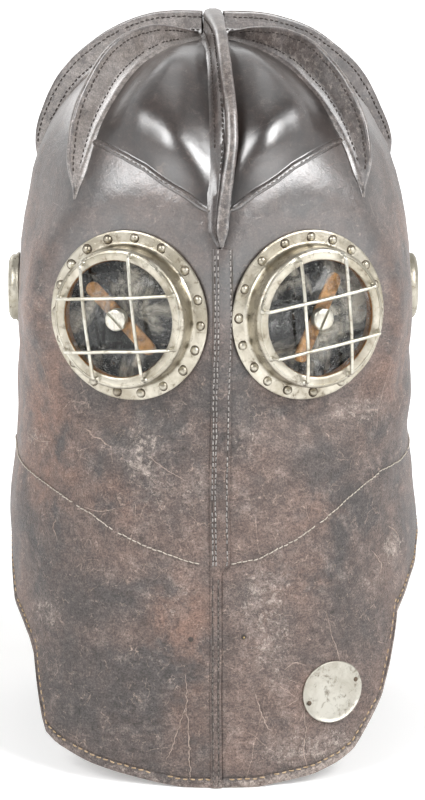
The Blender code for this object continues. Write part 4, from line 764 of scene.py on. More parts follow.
def push_out(point, side):
    """Keep a point of the leather out of the window's and the ear piece's holes."""
    if point.y < SHIFT:
        local = window_frame(side).inverted() @ point
        reach = hypot(local.x, local.y)
        if abs(local.z) < 0.012 and reach < WINDOW_HOLE:
            scale = WINDOW_HOLE / max(reach, 0.0001)
            return window_frame(side) @ Vector((local.x * scale, local.y * scale, local.z))
    if abs(point.x) > HALF_WIDTH / 2:
        reach = hypot(point.y - SHIFT, point.z - EAR_HEIGHT)
        if reach < EAR_HOLE:
            scale = EAR_HOLE / max(reach, 0.0001)
            return Vector((point.x, SHIFT + (point.y - SHIFT) * scale,
                           EAR_HEIGHT + (point.z - EAR_HEIGHT) * scale))
    return point


# Worn patches of the front: side, height, their reaches and the share at their middle
RED_SPOTS = (
    (-0.113, 0.255, 0.046, 0.120, 1.0), (0.106, 0.262, 0.030, 0.070, 0.75),
    (-0.107, 0.190, 0.036, 0.045, 0.9), (-0.024, 0.102, 0.030, 0.046, 0.90),
    (0.051, 0.130, 0.030, 0.020, 0.70), (-0.018, 0.043, 0.022, 0.040, 0.60),
    (-0.061, 0.177, 0.040, 0.026, 0.55), (-0.050, 0.230, 0.030, 0.020, 0.40),
    (0.060, 0.165, 0.036, 0.022, 0.45), (0.062, 0.060, 0.030, 0.030, 0.40))
SLATE_SPOTS = (
    (-0.082, 0.112, 0.042, 0.034, 0.95), (-0.088, 0.060, 0.042, 0.050, 0.95),
    (0.062, 0.198, 0.036, 0.020, 0.75), (0.080, 0.098, 0.034, 0.034, 0.85),
    (0.015, 0.231, 0.022, 0.020, 0.60), (-0.073, 0.235, 0.034, 0.020, 0.60),
    (0.043, 0.077, 0.018, 0.020, 0.50), (-0.061, 0.018, 0.040, 0.020, 0.60),
    (-0.100, 0.375, 0.036, 0.045, 0.90), (0.100, 0.375, 0.036, 0.045, 0.70))
SCUFF_SPOTS = (
    (-0.046, 0.212, 0.014, 0.014, 0.70), (-0.048, 0.198, 0.013, 0.009, 1.0),
    (-0.036, 0.184, 0.018, 0.014, 0.55), (0.110, 0.136, 0.011, 0.013, 1.0),
    (0.085, 0.226, 0.024, 0.010, 0.75), (-0.112, 0.204, 0.010, 0.012, 0.70),
    (-0.106, 0.098, 0.014, 0.012, 0.65), (0.028, 0.117, 0.024, 0.026, 0.62),
    (0.030, 0.091, 0.022, 0.032, 0.55), (0.060, 0.022, 0.052, 0.016, 0.70),
    (-0.018, 0.184, 0.016, 0.018, 0.35), (0.016, 0.215, 0.014, 0.016, 0.40),
    (0.036, 0.066, 0.014, 0.014, 0.40), (-0.026, 0.116, 0.016, 0.016, 0.35),
    (-0.105, 0.290, 0.012, 0.030, 0.35), (0.095, 0.120, 0.014, 0.012, 0.45))


def strongest(spots, angle, point):
    """Share of the strongest of the soft round patches that reach a place."""
    if abs(angle) > 90:
        return 0
    return max(share * (1 - smooth_step(hypot((point.x - x) / across, (point.z - z) / up), 0.25, 1))
               for x, z, across, up, share in spots)


def wear_at(angle, point):
    """Reddish, scuff, darker and polished shares of the leather at a place."""
    front = 1 - smooth_step(abs(angle), 95, 125)
    red = 0.12 + 0.25 * smooth_step(abs(angle), 100, 140)
    red = max(red + 0.25 * smooth_step(point.z, 0.24, 0.30) * front,
              strongest(RED_SPOTS, angle, point))
    dark = strongest(SLATE_SPOTS, angle, point)
    scuff = strongest(SCUFF_SPOTS, angle, point)
    over_hem = point.z - hem_height(angle)
    scuff = max(scuff, (0.45 + 0.85 * smooth_step(angle, -10, 20)) * front
                * (1 - smooth_step(over_hem, 0.0034, 0.0062)))
    dark = max(dark, 0.7 * (1 - smooth_step(abs(over_hem - 0.0056), 0.0006, 0.0030)))
    off_collar = abs(point.z - collar_height(angle))
    dark = max(dark, 0.45 * (1 - smooth_step(off_collar, 0.0008, 0.0045)))
    uneven = noise.noise(point * 21 + Vector((0, 0, 4.4))) * 0.035
    polish = smooth_step(point.z + uneven, 0.225, 0.310) * (0.45 + 0.55 * front)
    polish *= 1 - 0.85 * smooth_step(abs(point.x), 0.086, 0.116) * front
    if point.z > BROW_LOW:
        off_crest = abs(abs(angle) - CREST_ANGLE)
        dark = max(dark, 0.6 * (1 - smooth_step(off_crest, 0, 12)))
    return red, scuff, dark, polish


def paint(item, wear):
    """Store worn shares, and the crests' painted sheen, as a colour attribute, one for each point.
    """
    layer = item.data.color_attributes.new("wear", "FLOAT_COLOR", "POINT")
    values = [channel for colour in wear for channel in colour]
    layer.data.foreach_set("color", values)


def panel_place(angle, latitude, side, drop, padded, last):
    """Outer and inner point of a panel at a column and a row of its grid."""
    normal = shell_normal(angle, latitude)
    face = shell_point(angle, latitude)
    rise = waves(face)
    if padded:
        rise += gore_puff(angle, latitude)
    seat = push_out(face, side)
    if seat != face:
        face, rise = seat, 0
    back = face - normal * (LEATHER + min(drop, 0) * 0.8 * (not last))
    back += normal * rise * (1 if padded else 0.6)
    face = face + normal * (rise + drop)
    if last:
        back += normal * 0.0006
        back.z = max(face.z, 0.0001)
        face.z = max(face.z, 0.0001)
    return face, back


def build_panel(name, node, side, cells, material, padded=False):
    """Leather panel over the cells (column, row) of the shell's grid that it covers."""
    rows = CROWN_ROWS + BROW_ROWS + WALL_ROWS
    latitudes = [rows_at(angle * side) for angle in ANGLES]
    columns = len(ANGLES)

    def inside(column, row):
        return 0 <= column < columns - 1 and 0 <= row < rows - 1 and cells(column, row)

    outer, inner, wear, index = [], [], [], {}
    for column in range(columns):
        for row in range(rows):
            left = inside(column - 1, row - 1) or inside(column - 1, row)
            right = inside(column, row - 1) or inside(column, row)
            if not (left or right):
                continue
            above = inside(column - 1, row - 1) or inside(column, row - 1)
            below = inside(column - 1, row) or inside(column, row)
            angle, latitude = ANGLES[column], latitudes[column][row]
            # Edges stand a little apart from their neighbours and turn down
            drop = 0.0
            if left != right:
                angle += 0.06 * (1 if right else -1)
                drop = -0.0011
            elif not (inside(column - 2, row) and inside(column + 1, row)):
                drop = -0.0003
            if above != below:
                if row < rows - 1:
                    latitude += 0.05 * (1 if above else -1)
                drop = min(drop, -0.0006)
            elif row >= rows - len(HEM_ROWS):
                drop += HEM_ROWS[row - rows + len(HEM_ROWS)][1]
            face, back = panel_place(angle * side, latitude, side, drop, padded, row == rows - 1)
            index[column, row] = len(outer)
            outer.append(face)
            inner.append(back)
            wear.append(wear_at(angle * side, face))

    def corners_of(column, row):
        return (column, row), (column, row + 1), (column + 1, row + 1), (column + 1, row)

    kept = set()
    for column in range(columns - 1):
        for row in range(rows - 1):
            if inside(column, row):
                points = [shell_point(ANGLES[c] * side, latitudes[c][r])
                          for c, r in corners_of(column, row)]
                if any(push_out(point, side) == point for point in points):
                    kept.add((column, row))
    start = len(outer)
    faces = []
    for column, row in sorted(kept):
        quad = [index[corner] for corner in corners_of(column, row)]
        faces.append(quad)
        faces.append([start + corner for corner in reversed(quad)])
        beside = ((column - 1, row), (column, row + 1), (column + 1, row), (column, row - 1))
        for edge, neighbour in enumerate(beside):
            if neighbour not in kept:
                first, last = quad[edge], quad[(edge + 1) % 4]
                faces.append([last, first, start + first, start + last])
    item = piece(name, (outer + inner, faces), material, "shell", [node], smooth=50)
    paint(item, wear + [(0.3, 0.2, 0.3, 0)] * start)
    item.data.materials.append(raw_leather)
    for polygon in item.data.polygons:
        if min(polygon.vertices) >= start:
            polygon.material_index = 1
    tidy = bmesh.new()
    tidy.from_mesh(item.data)
    loose = [vertex for vertex in tidy.verts if not vertex.link_faces]
    bmesh.ops.delete(tidy, geom=loose, context="VERTS")
    tidy.to_mesh(item.data)
    tidy.free()


for side, word in SIDES:
    build_panel("gore_" + word, "front_crown_gore_" + word, side,
                lambda column, row: column < CREST_COLUMN and row < CROWN_ROWS,
                gloss_leather, True)
    build_panel("face_leather_" + word, "face_panel_" + word, side,
                lambda column, row: column < SEAM_COLUMN and not (
                    column < CREST_COLUMN and row < CROWN_ROWS), leather)
    build_panel("back_leather_" + word, "back_panel_" + word, side,
                lambda column, row: column >= SEAM_COLUMN, leather)


# Crests, strips and seams

def reading(table, share):
    """Smooth reading of an evenly spaced table."""
    position = min(max(share, 0), 1) * (len(table) - 1)
    lower = min(int(position), len(table) - 2)
    part = position - lower
    before = table[max(lower - 1, 0)]
    start, stop = table[lower], table[lower + 1]
    after = table[min(lower + 2, len(table) - 1)]
    return 0.5 * (2 * start + (stop - before) * part
                  + (2 * before - 5 * start + 4 * stop - after) * part ** 2
                  + (3 * start - before - 3 * stop + after) * part ** 3)


def ridge_frame(angle, latitude):
    """Point, normal and crosswise direction on a column of the shell."""
    normal = shell_normal(angle, latitude)
    ahead = shell_point(angle, latitude + 0.4) - shell_point(angle, latitude - 0.4)
    ahead.normalize()
    return shell_point(angle, latitude), normal, ahead.cross(normal).normalized()


def end_latitude(angle, radius):
    """Latitude where a column comes within a radius of the middle plane."""
    return degrees(acos((radius / (HALF_WIDTH * sin(radians(angle)))) ** (DOME_POWER / 2)))


def crest_ring(place, width, height, lean, seed, taper=0.6, flare=1.0):
    """Points across a sewn crest: flared foot, two flat faces and a thin rounded edge."""
    point, normal, across = place
    half = width / 2
    tip = half * taper
    foot = min(0.0022, height * 0.4)
    edge = min(tip * 0.9, height * 0.3)
    waist = half * 0.92
    side_points = [(half + 0.0032 * flare, -0.0014), (half + 0.0034 * flare, 0.0001),
                   (half + 0.0016 * flare, foot * 0.35),
                   (waist + 0.0002, foot), (waist * 0.94 + tip * 0.06, height * 0.35),
                   (waist * 0.5 + tip * 0.5, height * 0.65), (tip * 1.02, height - edge * 1.4),
                   (tip * 1.04, height - edge * 0.7), (tip * 0.80, height - edge * 0.2),
                   (tip * 0.35, height)]
    shares = (0, 0, 0, 0, 0.3, 0.65, 0.95, 1, 1, 1)
    outline = [(-side + lean * share, rise) for (side, rise), share in zip(side_points, shares)]
    outline += [(side + lean * share, rise)
                for (side, rise), share in zip(reversed(side_points), reversed(shares))]
    ring = []
    for side, rise in outline:
        spot_here = point + across * side + normal * (rise + waves(point))
        share = min(max(rise / 0.012, 0), 1)
        dent = noise.noise(spot_here * 120 + Vector((seed, 0, 0))) * 0.00022 * share
        sway = noise.noise(point * 24 + Vector((0, seed, 0))) * 0.0009 * share
        ring.append(spot_here + across * (sway + dent) + normal * dent)
    return ring


def crest(angle, low, high, height_table, height, width, leans=(0, 0), side_lean=0.0,
          seed=1.0, stations=96, taper=0.6, tip=0.12):
    """Rings of a crest along one column, its stitch rows added to top_rows and base_rows."""
    rings, tops, bases = [], ([], []), ([], [])
    for step in range(stations):
        share = step / (stations - 1)
        share = share * share * (3 - 2 * share) * 0.35 + share * 0.65
        latitude = low + (high - low) * share
        place = ridge_frame(angle, latitude)
        narrow = smooth_step(share, -tip * 0.25, tip)
        tall = height * max(reading(height_table, share), 0.05) * (0.35 + 0.65 * narrow)
        wide = (width(share) if callable(width) else width) * (0.22 + 0.78 * narrow)
        lean = side_lean * reading(leans, share)
        ring = crest_ring(place, wide, tall, lean, seed, taper, narrow)
        rings.append(ring)
        normal, across = place[1:3]
        for index, sign in enumerate((-1, 1)):
            line = ring if sign < 0 else ring[::-1]
            face = (across * sign + normal * 0.1).normalized()
            if tall > 0.0075:
                share = 1 - 0.0036 / (tall * 0.35) if tall > 0.0155 else 0.3
                tops[index].append((line[5].lerp(line[7], share), face))
            if tall > 0.0115:
                bases[index].append((line[4].lerp(line[3], 0.45), face))
    top_rows.extend(tops)
    base_rows.extend(bases)
    return rings


def along_route(route, pitch):
    """Evenly spaced (point, direction, normal) along a list of (point, normal)."""
    spaced, carried = [], pitch / 2
    for (start, normal), (stop, after) in zip(route, route[1:]):
        length = (stop - start).length
        if length < 0.00001:
            continue
        while carried < length:
            share = carried / length
            spaced.append((start.lerp(stop, share), (stop - start) / length,
                           normal.lerp(after, share).normalized()))
            carried += pitch
        carried -= length
    return spaced


# How far along, in half lengths, and how high, in radii, a stitch's thread runs
STITCH_ARC = ((-1, -0.9), (-0.75, 0.25), (0, 0.7), (0.75, 0.25), (1, -0.9))


def stitches(name, routes, pitch, length, radius, material, seed, missing=0.03):
    """Rows of single stitches: short arched threads that dip into the leather."""
    chance = random.Random(seed)
    parts = []
    for route in routes:
        for point, ahead, normal in along_route(route, pitch):
            if chance.random() < missing:
                continue
            across = normal.cross(ahead).normalized()
            turn = chance.uniform(-0.16, 0.16)
            heading = (ahead * cos(turn) + across * sin(turn)).normalized()
            middle = point + across * chance.uniform(-0.0002, 0.0002)
            half = length / 2 * chance.uniform(0.85, 1.1)
            path = [middle + heading * (half * share) + normal * (radius * lift)
                    for share, lift in STITCH_ARC]
            sizes = [radius * 0.55, radius, radius * 1.08, radius, radius * 0.55]
            parts.append(tube(path, sizes, 6))
    return piece(name, merged(parts), material, smooth=80)


def ribbon(name, route, width, height, material, sink=0.0006):
    """Low half-round band along a route of (point, normal)."""
    sections = []
    for index, (point, normal) in enumerate(route):
        ahead = route[min(index + 1, len(route) - 1)][0] - route[max(index - 1, 0)][0]
        across = normal.cross(ahead.normalized()).normalized()
        taper = min(1, (index + 0.4) / 2.5, (len(route) - index - 0.6) / 2.5)
        half = width / 2 * (0.35 + 0.65 * taper)
        ring = [(-half, -sink), (-half, height * 0.15), (-half * 0.6, height * 0.8 * taper),
                (0, height * taper), (half * 0.6, height * 0.8 * taper), (half, height * 0.15),
                (half, -sink)]
        sections.append([point + across * side + normal * rise for side, rise in ring])
    return piece(name, loft(sections), material, smooth=70)


def painted(item, red, scuff, dark):
    paint(item, [(red, scuff, dark, 1)] * len(item.data.vertices))


# Heights, leans and widths of the crests, evenly spaced from their lower ends to the crown
FRONT_CREST = (0.09, 0.44, 0.72, 0.88, 0.96, 1.0, 0.98, 0.87, 0.70, 0.46, 0.22)
REAR_CREST = (0.12, 0.42, 0.66, 0.84, 0.95, 1.03, 1.10, 1.13, 1.12, 1.05, 0.97)
CENTRE_FRONT = (0.17, 0.20, 0.42, 0.66, 0.82, 0.92, 0.97, 1.0, 1.0, 0.98, 0.96)
CENTRE_BACK = (0.12, 0.40, 0.60, 0.74, 0.83, 0.88, 0.91, 0.93, 0.94, 0.95, 0.96)
CENTRE_LEAN = (0.2, 0.45, 0.95, 1.40, 1.35, 1.10, 0.80, 0.60, 0.40, 0.20, 0.10)
CENTRE_WIDTHS = (0, 0, 0, 0, 0, 0, 0.02, 0.06, 0.15, 0.55, 1.0)


def centre_width(share):
    return 0.0078 + 0.0058 * max(reading(CENTRE_WIDTHS, share), 0)


# Pale shares of a crest's edge, from its middle outward: rubbed wear and a painted highlight
EDGE_PALE = (0.75, 0.80, 0.22, 0.05)


def finish_crest(name, rings, sheen_faces=(0, 0)):
    """The crest's piece: edge worn pale and painted with a highlight, faces painted with sheen."""
    item = piece(name, loft(rings), crest_leather, "shell", [name], smooth=60)
    count = len(rings[0])
    wear = []
    for ring in rings:
        for index in range(count):
            away = abs(index - (count - 1) / 2)
            pale = EDGE_PALE[int(away)] if away < len(EDGE_PALE) else 0.0
            # Painted sheen on the two faces
            pale = max(pale, sheen_faces[index > count / 2] * smooth_step(away, 2, 4))
            wear.append((0.30, pale, 0.35 if away > 6 else 0.0, 0.75))
    paint(item, wear)


CREST_HEIGHT, REAR_HEIGHT, CENTRE_HEIGHT = 0.0230, 0.0165, 0.0180
FRONT_END = end_latitude(CREST_ANGLE, 0.014 * sin(radians(CREST_ANGLE)))
REAR_END = end_latitude(SIDE_SEAM, 0.0066)
# Painted sheen: pale shares of the two faces of the front and rear crests, by side
FRONT_SHEEN = {1: (0.6, 0.25), -1: (0.25, 1.3)}
REAR_SHEEN = {1: (0.3, 0.2), -1: (0.2, 1.0)}
top_rows, base_rows = [], []
for side, word in SIDES:
    rings = crest(CREST_ANGLE * side, latitude_at(0.357), FRONT_END, FRONT_CREST, CREST_HEIGHT,
                  0.0050, seed=2.0 + side)
    finish_crest("front_crest_" + word, rings, FRONT_SHEEN[side])
    rings = crest(SIDE_SEAM * side, latitude_at(0.358), REAR_END, REAR_CREST, REAR_HEIGHT, 0.0050,
                  seed=5.0 + side)
    finish_crest("rear_crest_" + word, rings, REAR_SHEEN[side])
front_rings = crest(0, latitude_at(0.332), 88, CENTRE_FRONT, CENTRE_HEIGHT, centre_width,
                    CENTRE_LEAN, 0.0055, 8.0, 110, 0.9, 0.05)
back_rings = crest(180, latitude_at(0.350), 88, CENTRE_BACK, CENTRE_HEIGHT, centre_width,
                   seed=9.0, taper=0.9, tip=0.05)
finish_crest("centre_crest", front_rings + [ring[::-1] for ring in reversed(back_rings)])
stitches("crest_top_stitches", top_rows, 0.0036, 0.0024, 0.00042, groove, 11)
stitches("crest_base_stitches", base_rows, 0.0034, 0.0022, 0.00040, groove, 12)


def brow_route(side, lift, offset=0.0):
    """Along the brow seam, from the middle out to the front crest."""
    stops = []
    for step in range(41):
        angle = 2.6 + (CREST_ANGLE - 4.0) * step / 40
        stops.append((angle * side, latitude_at(brow_height(angle) + offset)))
    return surface_route(stops, lift)


for side, word in SIDES:
    painted(ribbon("brow_welt_" + word, brow_route(side, 0.0, -0.0009), 0.0044, 0.0013,
                   crest_leather), 0.3, 0.25, 0.3)
stitches("brow_stitches", [brow_route(side, 0.0010, -0.0014) for side in (1, -1)], 0.0034, 0.0023,
         0.00036, thread, 21)


def strip_piece(name, node, top, backward, lean):
    """Leather strip over a middle seam, slightly wavy, with soft edges.

    On the front it narrows below the collar's stitches to one lapped edge.
    """
    angle = 180 if backward else 0
    low = 0.0003
    sections, edges = [], ([], [], [])
    for step in range(131):
        height = top + (low - top) * step / 130
        drift = noise.noise(Vector((0.3, 1.7, height * 22))) * 0.0007
        drift += lean * smooth_step(height, 0.19, 0.30)
        lapped = 0 if backward else 1 - smooth_step(height, 0.1335, 0.1385)
        right = 0.0060 - 0.0052 * lapped
        thick = 1 - 0.35 * lapped
        ring = []
        for side, rise in ((-0.0060, 0.0001), (-0.0061, 0.0007), (-0.0057, 0.0012),
                           (-0.0030, 0.0015), (right - 0.0050, 0.0016), (right - 0.0022, 0.0015),
                           (right - 0.0003, 0.0012), (right + 0.0001, 0.0007), (right, 0.0001)):
            place = at(side + drift, height, backward, rise * thick)
            place.z = max(height, low)
            ring.append(place)
        sections.append(ring)
        normal = shell_normal(angle, latitude_at(max(height, 0.001)))
        rows = (-0.0044, -0.0026, right - 0.0017)
        if backward:
            rows = (-0.0043, 0.0043)
        elif lapped > 0.5:
            rows = (-0.0044, right - 0.0019)
        for index, side in enumerate(rows):
            edges[index].append((at(side + drift, max(height, 0.001), backward, 0.0015 * thick),
                                 normal))
    item = piece(name, loft(sections), leather, "shell", [node], smooth=60)
    wear = []
    for point in item.data.vertices:
        red, scuff, dark, polish = wear_at(angle, point.co)
        wear.append((max(red, 0.3), scuff, max(dark, 0.25), polish))
    paint(item, wear)
    return [route for route in edges if route]


front_edges = strip_piece("front_strip", "front_seam_strip", 0.331, False, 0.0019)
back_edges = strip_piece("back_strip", "back_seam_strip", 0.349, True, 0)
cut_rows = []
# The front rows are broken where the collar's stitches cross them
ROWS_BREAK, ROWS_RESUME = 0.136, 0.132
for route in front_edges:
    upper = [stop for stop in route if stop[0].z > ROWS_BREAK]
    lower = [stop for stop in route if stop[0].z < ROWS_RESUME]
    cut_rows += [part for part in (upper, lower) if len(part) > 2]
upper_rows = [route for route in cut_rows if route[0][0].z > ROWS_BREAK]
lower_rows = [route for route in cut_rows if route[0][0].z < ROWS_BREAK]
stitches("strip_stitches", upper_rows + back_edges, 0.0034, 0.0026, 0.00042, strip_thread, 31)
stitches("lower_strip_stitches", lower_rows, 0.0034, 0.0024, 0.00030, thread, 32, 0.1)
for number, route in enumerate(cut_rows):
    ribbon("strip_groove_%d" % number, route[::2], 0.0010, 0.00008, groove, 0.0002)


def hem_route(side, lift, offset):
    """A set distance over the hem, also where the hem is steep."""
    stops = []
    for step in range(221):
        signed = (2.0 + 177.0 * step / 220) * side
        slope = (hem_height(signed + 0.5 * side) - hem_height(signed - 0.5 * side))
        level = latitude_at(hem_height(signed))
        run = (shell_point(signed + 0.5 * side, level)
               - shell_point(signed - 0.5 * side, level)).length
        steep = sqrt(1 + (slope / max(run, 0.0001)) ** 2)
        stops.append((signed, latitude_at(hem_height(signed) + offset * min(steep, 2.4))))
    return surface_route(stops, lift)


def collar_route(side, first, last):
    stops = []
    for step in range(121):
        angle = first + (last - first) * step / 120
        wander = noise.noise(Vector((angle * 0.15, side, 0))) * 0.0009
        stops.append((angle * side, latitude_at(collar_height(angle * side) + wander)))
    return surface_route(stops, 0.0003)


def side_route(side, offset):
    low, high = hem_height(SIDE_SEAM * side) + 0.004, 0.347
    angle = (SIDE_SEAM + offset) * side
    return surface_route([(angle, latitude_at(high + (low - high) * step / 119))
                          for step in range(120)], 0.0002)


stitches("hem_stitches", [hem_route(side, -0.0002, 0.0056) for side in (1, -1)], 0.0047, 0.0029,
         0.00046, gold_thread, 41, 0.12)
stitches("collar_stitches", [collar_route(1, 3.0, 172), collar_route(-1, 5.4, 172)], 0.0034, 0.0029,
         0.00036, pale_thread, 51, 0.03)
stitches("side_seam_stitches", [side_route(side, offset) for side in (1, -1)
                                for offset in (1.04, -1.04)], 0.0042, 0.0028, 0.00042, thread, 61)


# Cracks, pin holes and a pin

def over_front(angle, height):
    latitude = latitude_at(height)
    return skin(angle, latitude), shell_normal(angle, latitude)


def crack(points, width, seed):
    """Slender torn line: its route wobbles and its width comes and goes."""
    anchors = [Vector((angle, height * 1000, 0)) for angle, height in points]
    route = smooth_route(anchors, 14)
    sections = []
    for index, place in enumerate(route):
        wobble = noise.noise(Vector((place.x * 0.9, place.y * 0.35, seed))) * 0.45
        point, normal = over_front(place.x + wobble, place.y / 1000)
        share = index / (len(route) - 1)
        half = width / 2 * (0.25 + sin(pi * share) ** 0.5) * (
            0.75 + 0.6 * noise.noise(Vector((index * 0.35, seed, 2))))
        after = route[min(index + 1, len(route) - 1)] - route[max(index - 1, 0)]
        ahead = Vector((after.x * 0.0022, 0, after.y / 1000)).normalized()
        across = ahead.cross(normal).normalized()
        reach = max(half, 0.00006)
        sections.append([point + across * side * reach + normal * rise for side, rise in
                         ((-1, -0.0003), (-1, 0.00006), (0, 0.00016), (1, 0.00006), (1, -0.0003))])
    return loft(sections)


# Routes of the pale cracks by angle and height, each with its width
CRACKS = (
    (((-9.0, 0.0715), (-8.6, 0.061), (-8.7, 0.052), (-10.2, 0.040), (-12.5, 0.0235),
      (-13.5, 0.0175)), 0.0007),
    (((-8.7, 0.052), (-8.0, 0.037), (-7.7, 0.0205), (-7.5, 0.004)), 0.0009),
    (((22.2, 0.049), (22.6, 0.034), (21.8, 0.020), (22.4, 0.011)), 0.0008),
    (((34.0, 0.068), (33.0, 0.080), (31.0, 0.092), (30.0, 0.104)), 0.0006),
    (((-66.0, 0.205), (-60.0, 0.203), (-54.0, 0.205)), 0.0007),
    (((-63.0, 0.262), (-58.0, 0.250), (-55.0, 0.238), (-52.0, 0.230)), 0.0006),
    (((-40.0, 0.169), (-34.0, 0.168), (-29.0, 0.171)), 0.0006),
    (((-49.0, 0.146), (-51.0, 0.152), (-50.0, 0.158)), 0.0010),
    (((47.0, 0.138), (51.0, 0.128), (50.0, 0.122)), 0.0009),
    (((55.0, 0.150), (59.0, 0.145), (61.0, 0.138)), 0.0010),
    (((9.0, 0.060), (10.5, 0.048), (12.0, 0.038), (13.5, 0.034)), 0.0008),
    (((17.0, 0.072), (20.0, 0.076), (23.0, 0.074)), 0.0006),
    (((-20.0, 0.205), (-14.0, 0.196), (-9.0, 0.190)), 0.0005))
torn = [crack(points, width * 0.8, number * 1.7) for number, (points, width) in enumerate(CRACKS)]
piece("leather_cracks", merged(torn), torn_leather, smooth=80)
# Painted shade: dark lines where some of the cracks gape
GAPS = (
    (((-8.0, 0.030), (-7.8, 0.020), (-7.5, 0.008)), 0.0005),
    (((22.4, 0.046), (22.3, 0.030), (22.1, 0.016)), 0.0005),
    (((-8.7, 0.052), (-10.0, 0.042), (-11.5, 0.030)), 0.0004),
    (((10.0, 0.054), (11.4, 0.042)), 0.0005))
piece("open_cracks", merged([crack([(angle + 0.25, height) for angle, height in points], width,
                                   30 + number) for number, (points, width) in enumerate(GAPS)]),
      groove, smooth=80)
# Pin holes: dark discs painted as the shade inside each hole
pins = []
for angle, height in ((-7.6, 0.0925), (6.2, 0.0940)):
    pins.append(moved(dome(0.0017, 0.0004, -0.0001, 20), axis_frame(*over_front(angle, height))))
piece("pin_holes", merged(pins), groove, smooth=50)
piece("pin_left_in", moved(dome(0.0007, 0.0012, 0, 14), axis_frame(*over_front(6.3, 0.0935))),
      brass, smooth=50)


# Windows

DRUM_WALL, LIP_THICK, BARREL_END = 0.003, 0.0015, -0.0075
BORE = DRUM_RADIUS - DRUM_WALL
BARREL, PANE_RADIUS = BORE + 0.0013, BORE - GAP
PANE_THICK, CHAMBER = 0.0025, 0.0078
PANE_FRONT = DRUM_HEIGHT - LIP_THICK - GAP
PANE_BACK = PANE_FRONT - PANE_THICK
CHAMBER_BACK = PANE_BACK - GAP - CHAMBER
LIP_OPENING, WIRE_SEAT, WIRE_RADIUS = 0.0356, 0.0400, 0.00108
SPINDLE, WIPER_LENGTH, FELT_WIDTH, ARM_WIDTH = 0.0018, 0.058, 0.0090, 0.0070
# Guard wires: tilt, spacing and offset of each pair, seen from outside
UPRIGHTS = {1: (4, 0.0300, -0.0015), -1: (7, 0.0320, 0.0026)}
LEVELS = {1: (9, 0.0293, -0.0019), -1: (4.5, 0.0325, -0.0024)}
# Rivets round each flange: turns from the top, clockwise seen from outside
RIVET_TURNS = {
    -1: (-70, -52, -34.5, -16, 5.4, 27.8, 51.8, 75, 94, 112.7, 130.6, 151, 170, 189, 209, 229.5,
         250, 270.5),
    1: (-162, -143.7, -128, -109, -88.7, -67, -42.6, -20.7, 0.9, 19.2, 36.8, 53.8, 71, 90.5,
        110.5, 131, 153, 176.5)}
WIPER_ANGLES = {1: 64, -1: -43}


def flange_wave(turn, rate, seed):
    return noise.noise(Vector((cos(turn) * rate, sin(turn) * rate, seed)))


def build_bezel(side, word):
    """Flange, drum and lip in one, slightly bent, with its rivet heads and fine lines."""
    seat = window_frame(side)
    profile = [(BORE, BARREL_END), (BARREL, BARREL_END), (BARREL, 0), (FLANGE_RADIUS - 0.0008, 0),
               (FLANGE_RADIUS, 0.0005), (FLANGE_RADIUS, 0.0012), (FLANGE_RADIUS - 0.0006, 0.0016),
               (FLANGE_RADIUS - 0.0012, 0.0017), (DRUM_RADIUS + 0.0024, 0.0017),
               (DRUM_RADIUS + 0.0012, 0.0021), (DRUM_RADIUS + 0.0003, 0.0034),
               (DRUM_RADIUS, 0.0050), (DRUM_RADIUS, DRUM_HEIGHT - 0.0030),
               (DRUM_RADIUS - 0.0002, DRUM_HEIGHT - 0.0017),
               (DRUM_RADIUS - 0.0009, DRUM_HEIGHT - 0.0006),
               (DRUM_RADIUS - 0.0021, DRUM_HEIGHT - 0.0001), (DRUM_RADIUS - 0.0030, DRUM_HEIGHT),
               (LIP_OPENING + 0.0012, DRUM_HEIGHT - 0.0002),
               (LIP_OPENING + 0.0003, DRUM_HEIGHT - 0.0005), (LIP_OPENING, DRUM_HEIGHT - 0.0010),
               (LIP_OPENING + 0.0003, DRUM_HEIGHT - LIP_THICK), (BORE, DRUM_HEIGHT - LIP_THICK)]
    vertices, faces = revolve(profile, 144)
    bent = []
    for point in vertices:
        turn = atan2(point.y, point.x)
        spread = smooth_step(hypot(point.x, point.y), DRUM_RADIUS + 0.002, FLANGE_RADIUS)
        wave = flange_wave(turn, 3, side * 2.0)
        quick = flange_wave(turn, 9, side * 4.0)
        if point.z >= 0:
            lift = spread * (max(wave, 0) * 0.0007 + max(quick, 0) * 0.0003)
            scale = min(1 + spread * (wave * 0.006 + quick * 0.003) * 0.7, 1.002)
            point = Vector((point.x * scale, point.y * scale, point.z + lift))
        bent.append(point)
    piece("window_frame_" + word, moved((bent, faces), seat), nickel, "shell",
          ["window_bezel_" + word], smooth=40)
    heads, shadow_rings = [], []
    chance = random.Random(70 + side)
    rivet_circle = (FLANGE_RADIUS + DRUM_RADIUS) / 2 + 0.0004
    for turn_from_top in RIVET_TURNS[side]:
        turn = radians(90 - turn_from_top)
        wave = max(flange_wave(turn, 3, side * 2.0), 0) * 0.0003
        head = dome(0.0026 * chance.uniform(0.93, 1.05), 0.0022 * chance.uniform(0.85, 1.08),
                    0.0018 + wave)
        tilt = Matrix.Rotation(chance.uniform(-0.07, 0.07), 4, "X")
        place = seat @ shift(rivet_circle * cos(turn), rivet_circle * sin(turn))
        heads.append(moved(head, place @ tilt))
        # Painted contact shadow: a thin dark disc under each rivet head, a little wider than it
        dark_patch = dome(0.0030 * chance.uniform(0.98, 1.12), 0.00018, 0.0017 + wave)
        shadow_rings.append(moved(dark_patch, place))
    piece("window_rivet_heads_" + word, merged(heads), rivet_metal, smooth=50)
    piece("window_rivet_grime_" + word, merged(shadow_rings), grime, smooth=50)
    for name, radius, level, thick, metal in (
            ("window_lip_line_", DRUM_RADIUS - 0.0022, DRUM_HEIGHT + 0.00002, 0.00035, wire_metal),
            ("window_rust_line_", LIP_OPENING + 0.0001, DRUM_HEIGHT - 0.00155, 0.0003, rust)):
        line = tube(circle(radius, level, 120), thick, 6, closed=True)
        piece(name + word, moved(line, seat), metal, smooth=60)


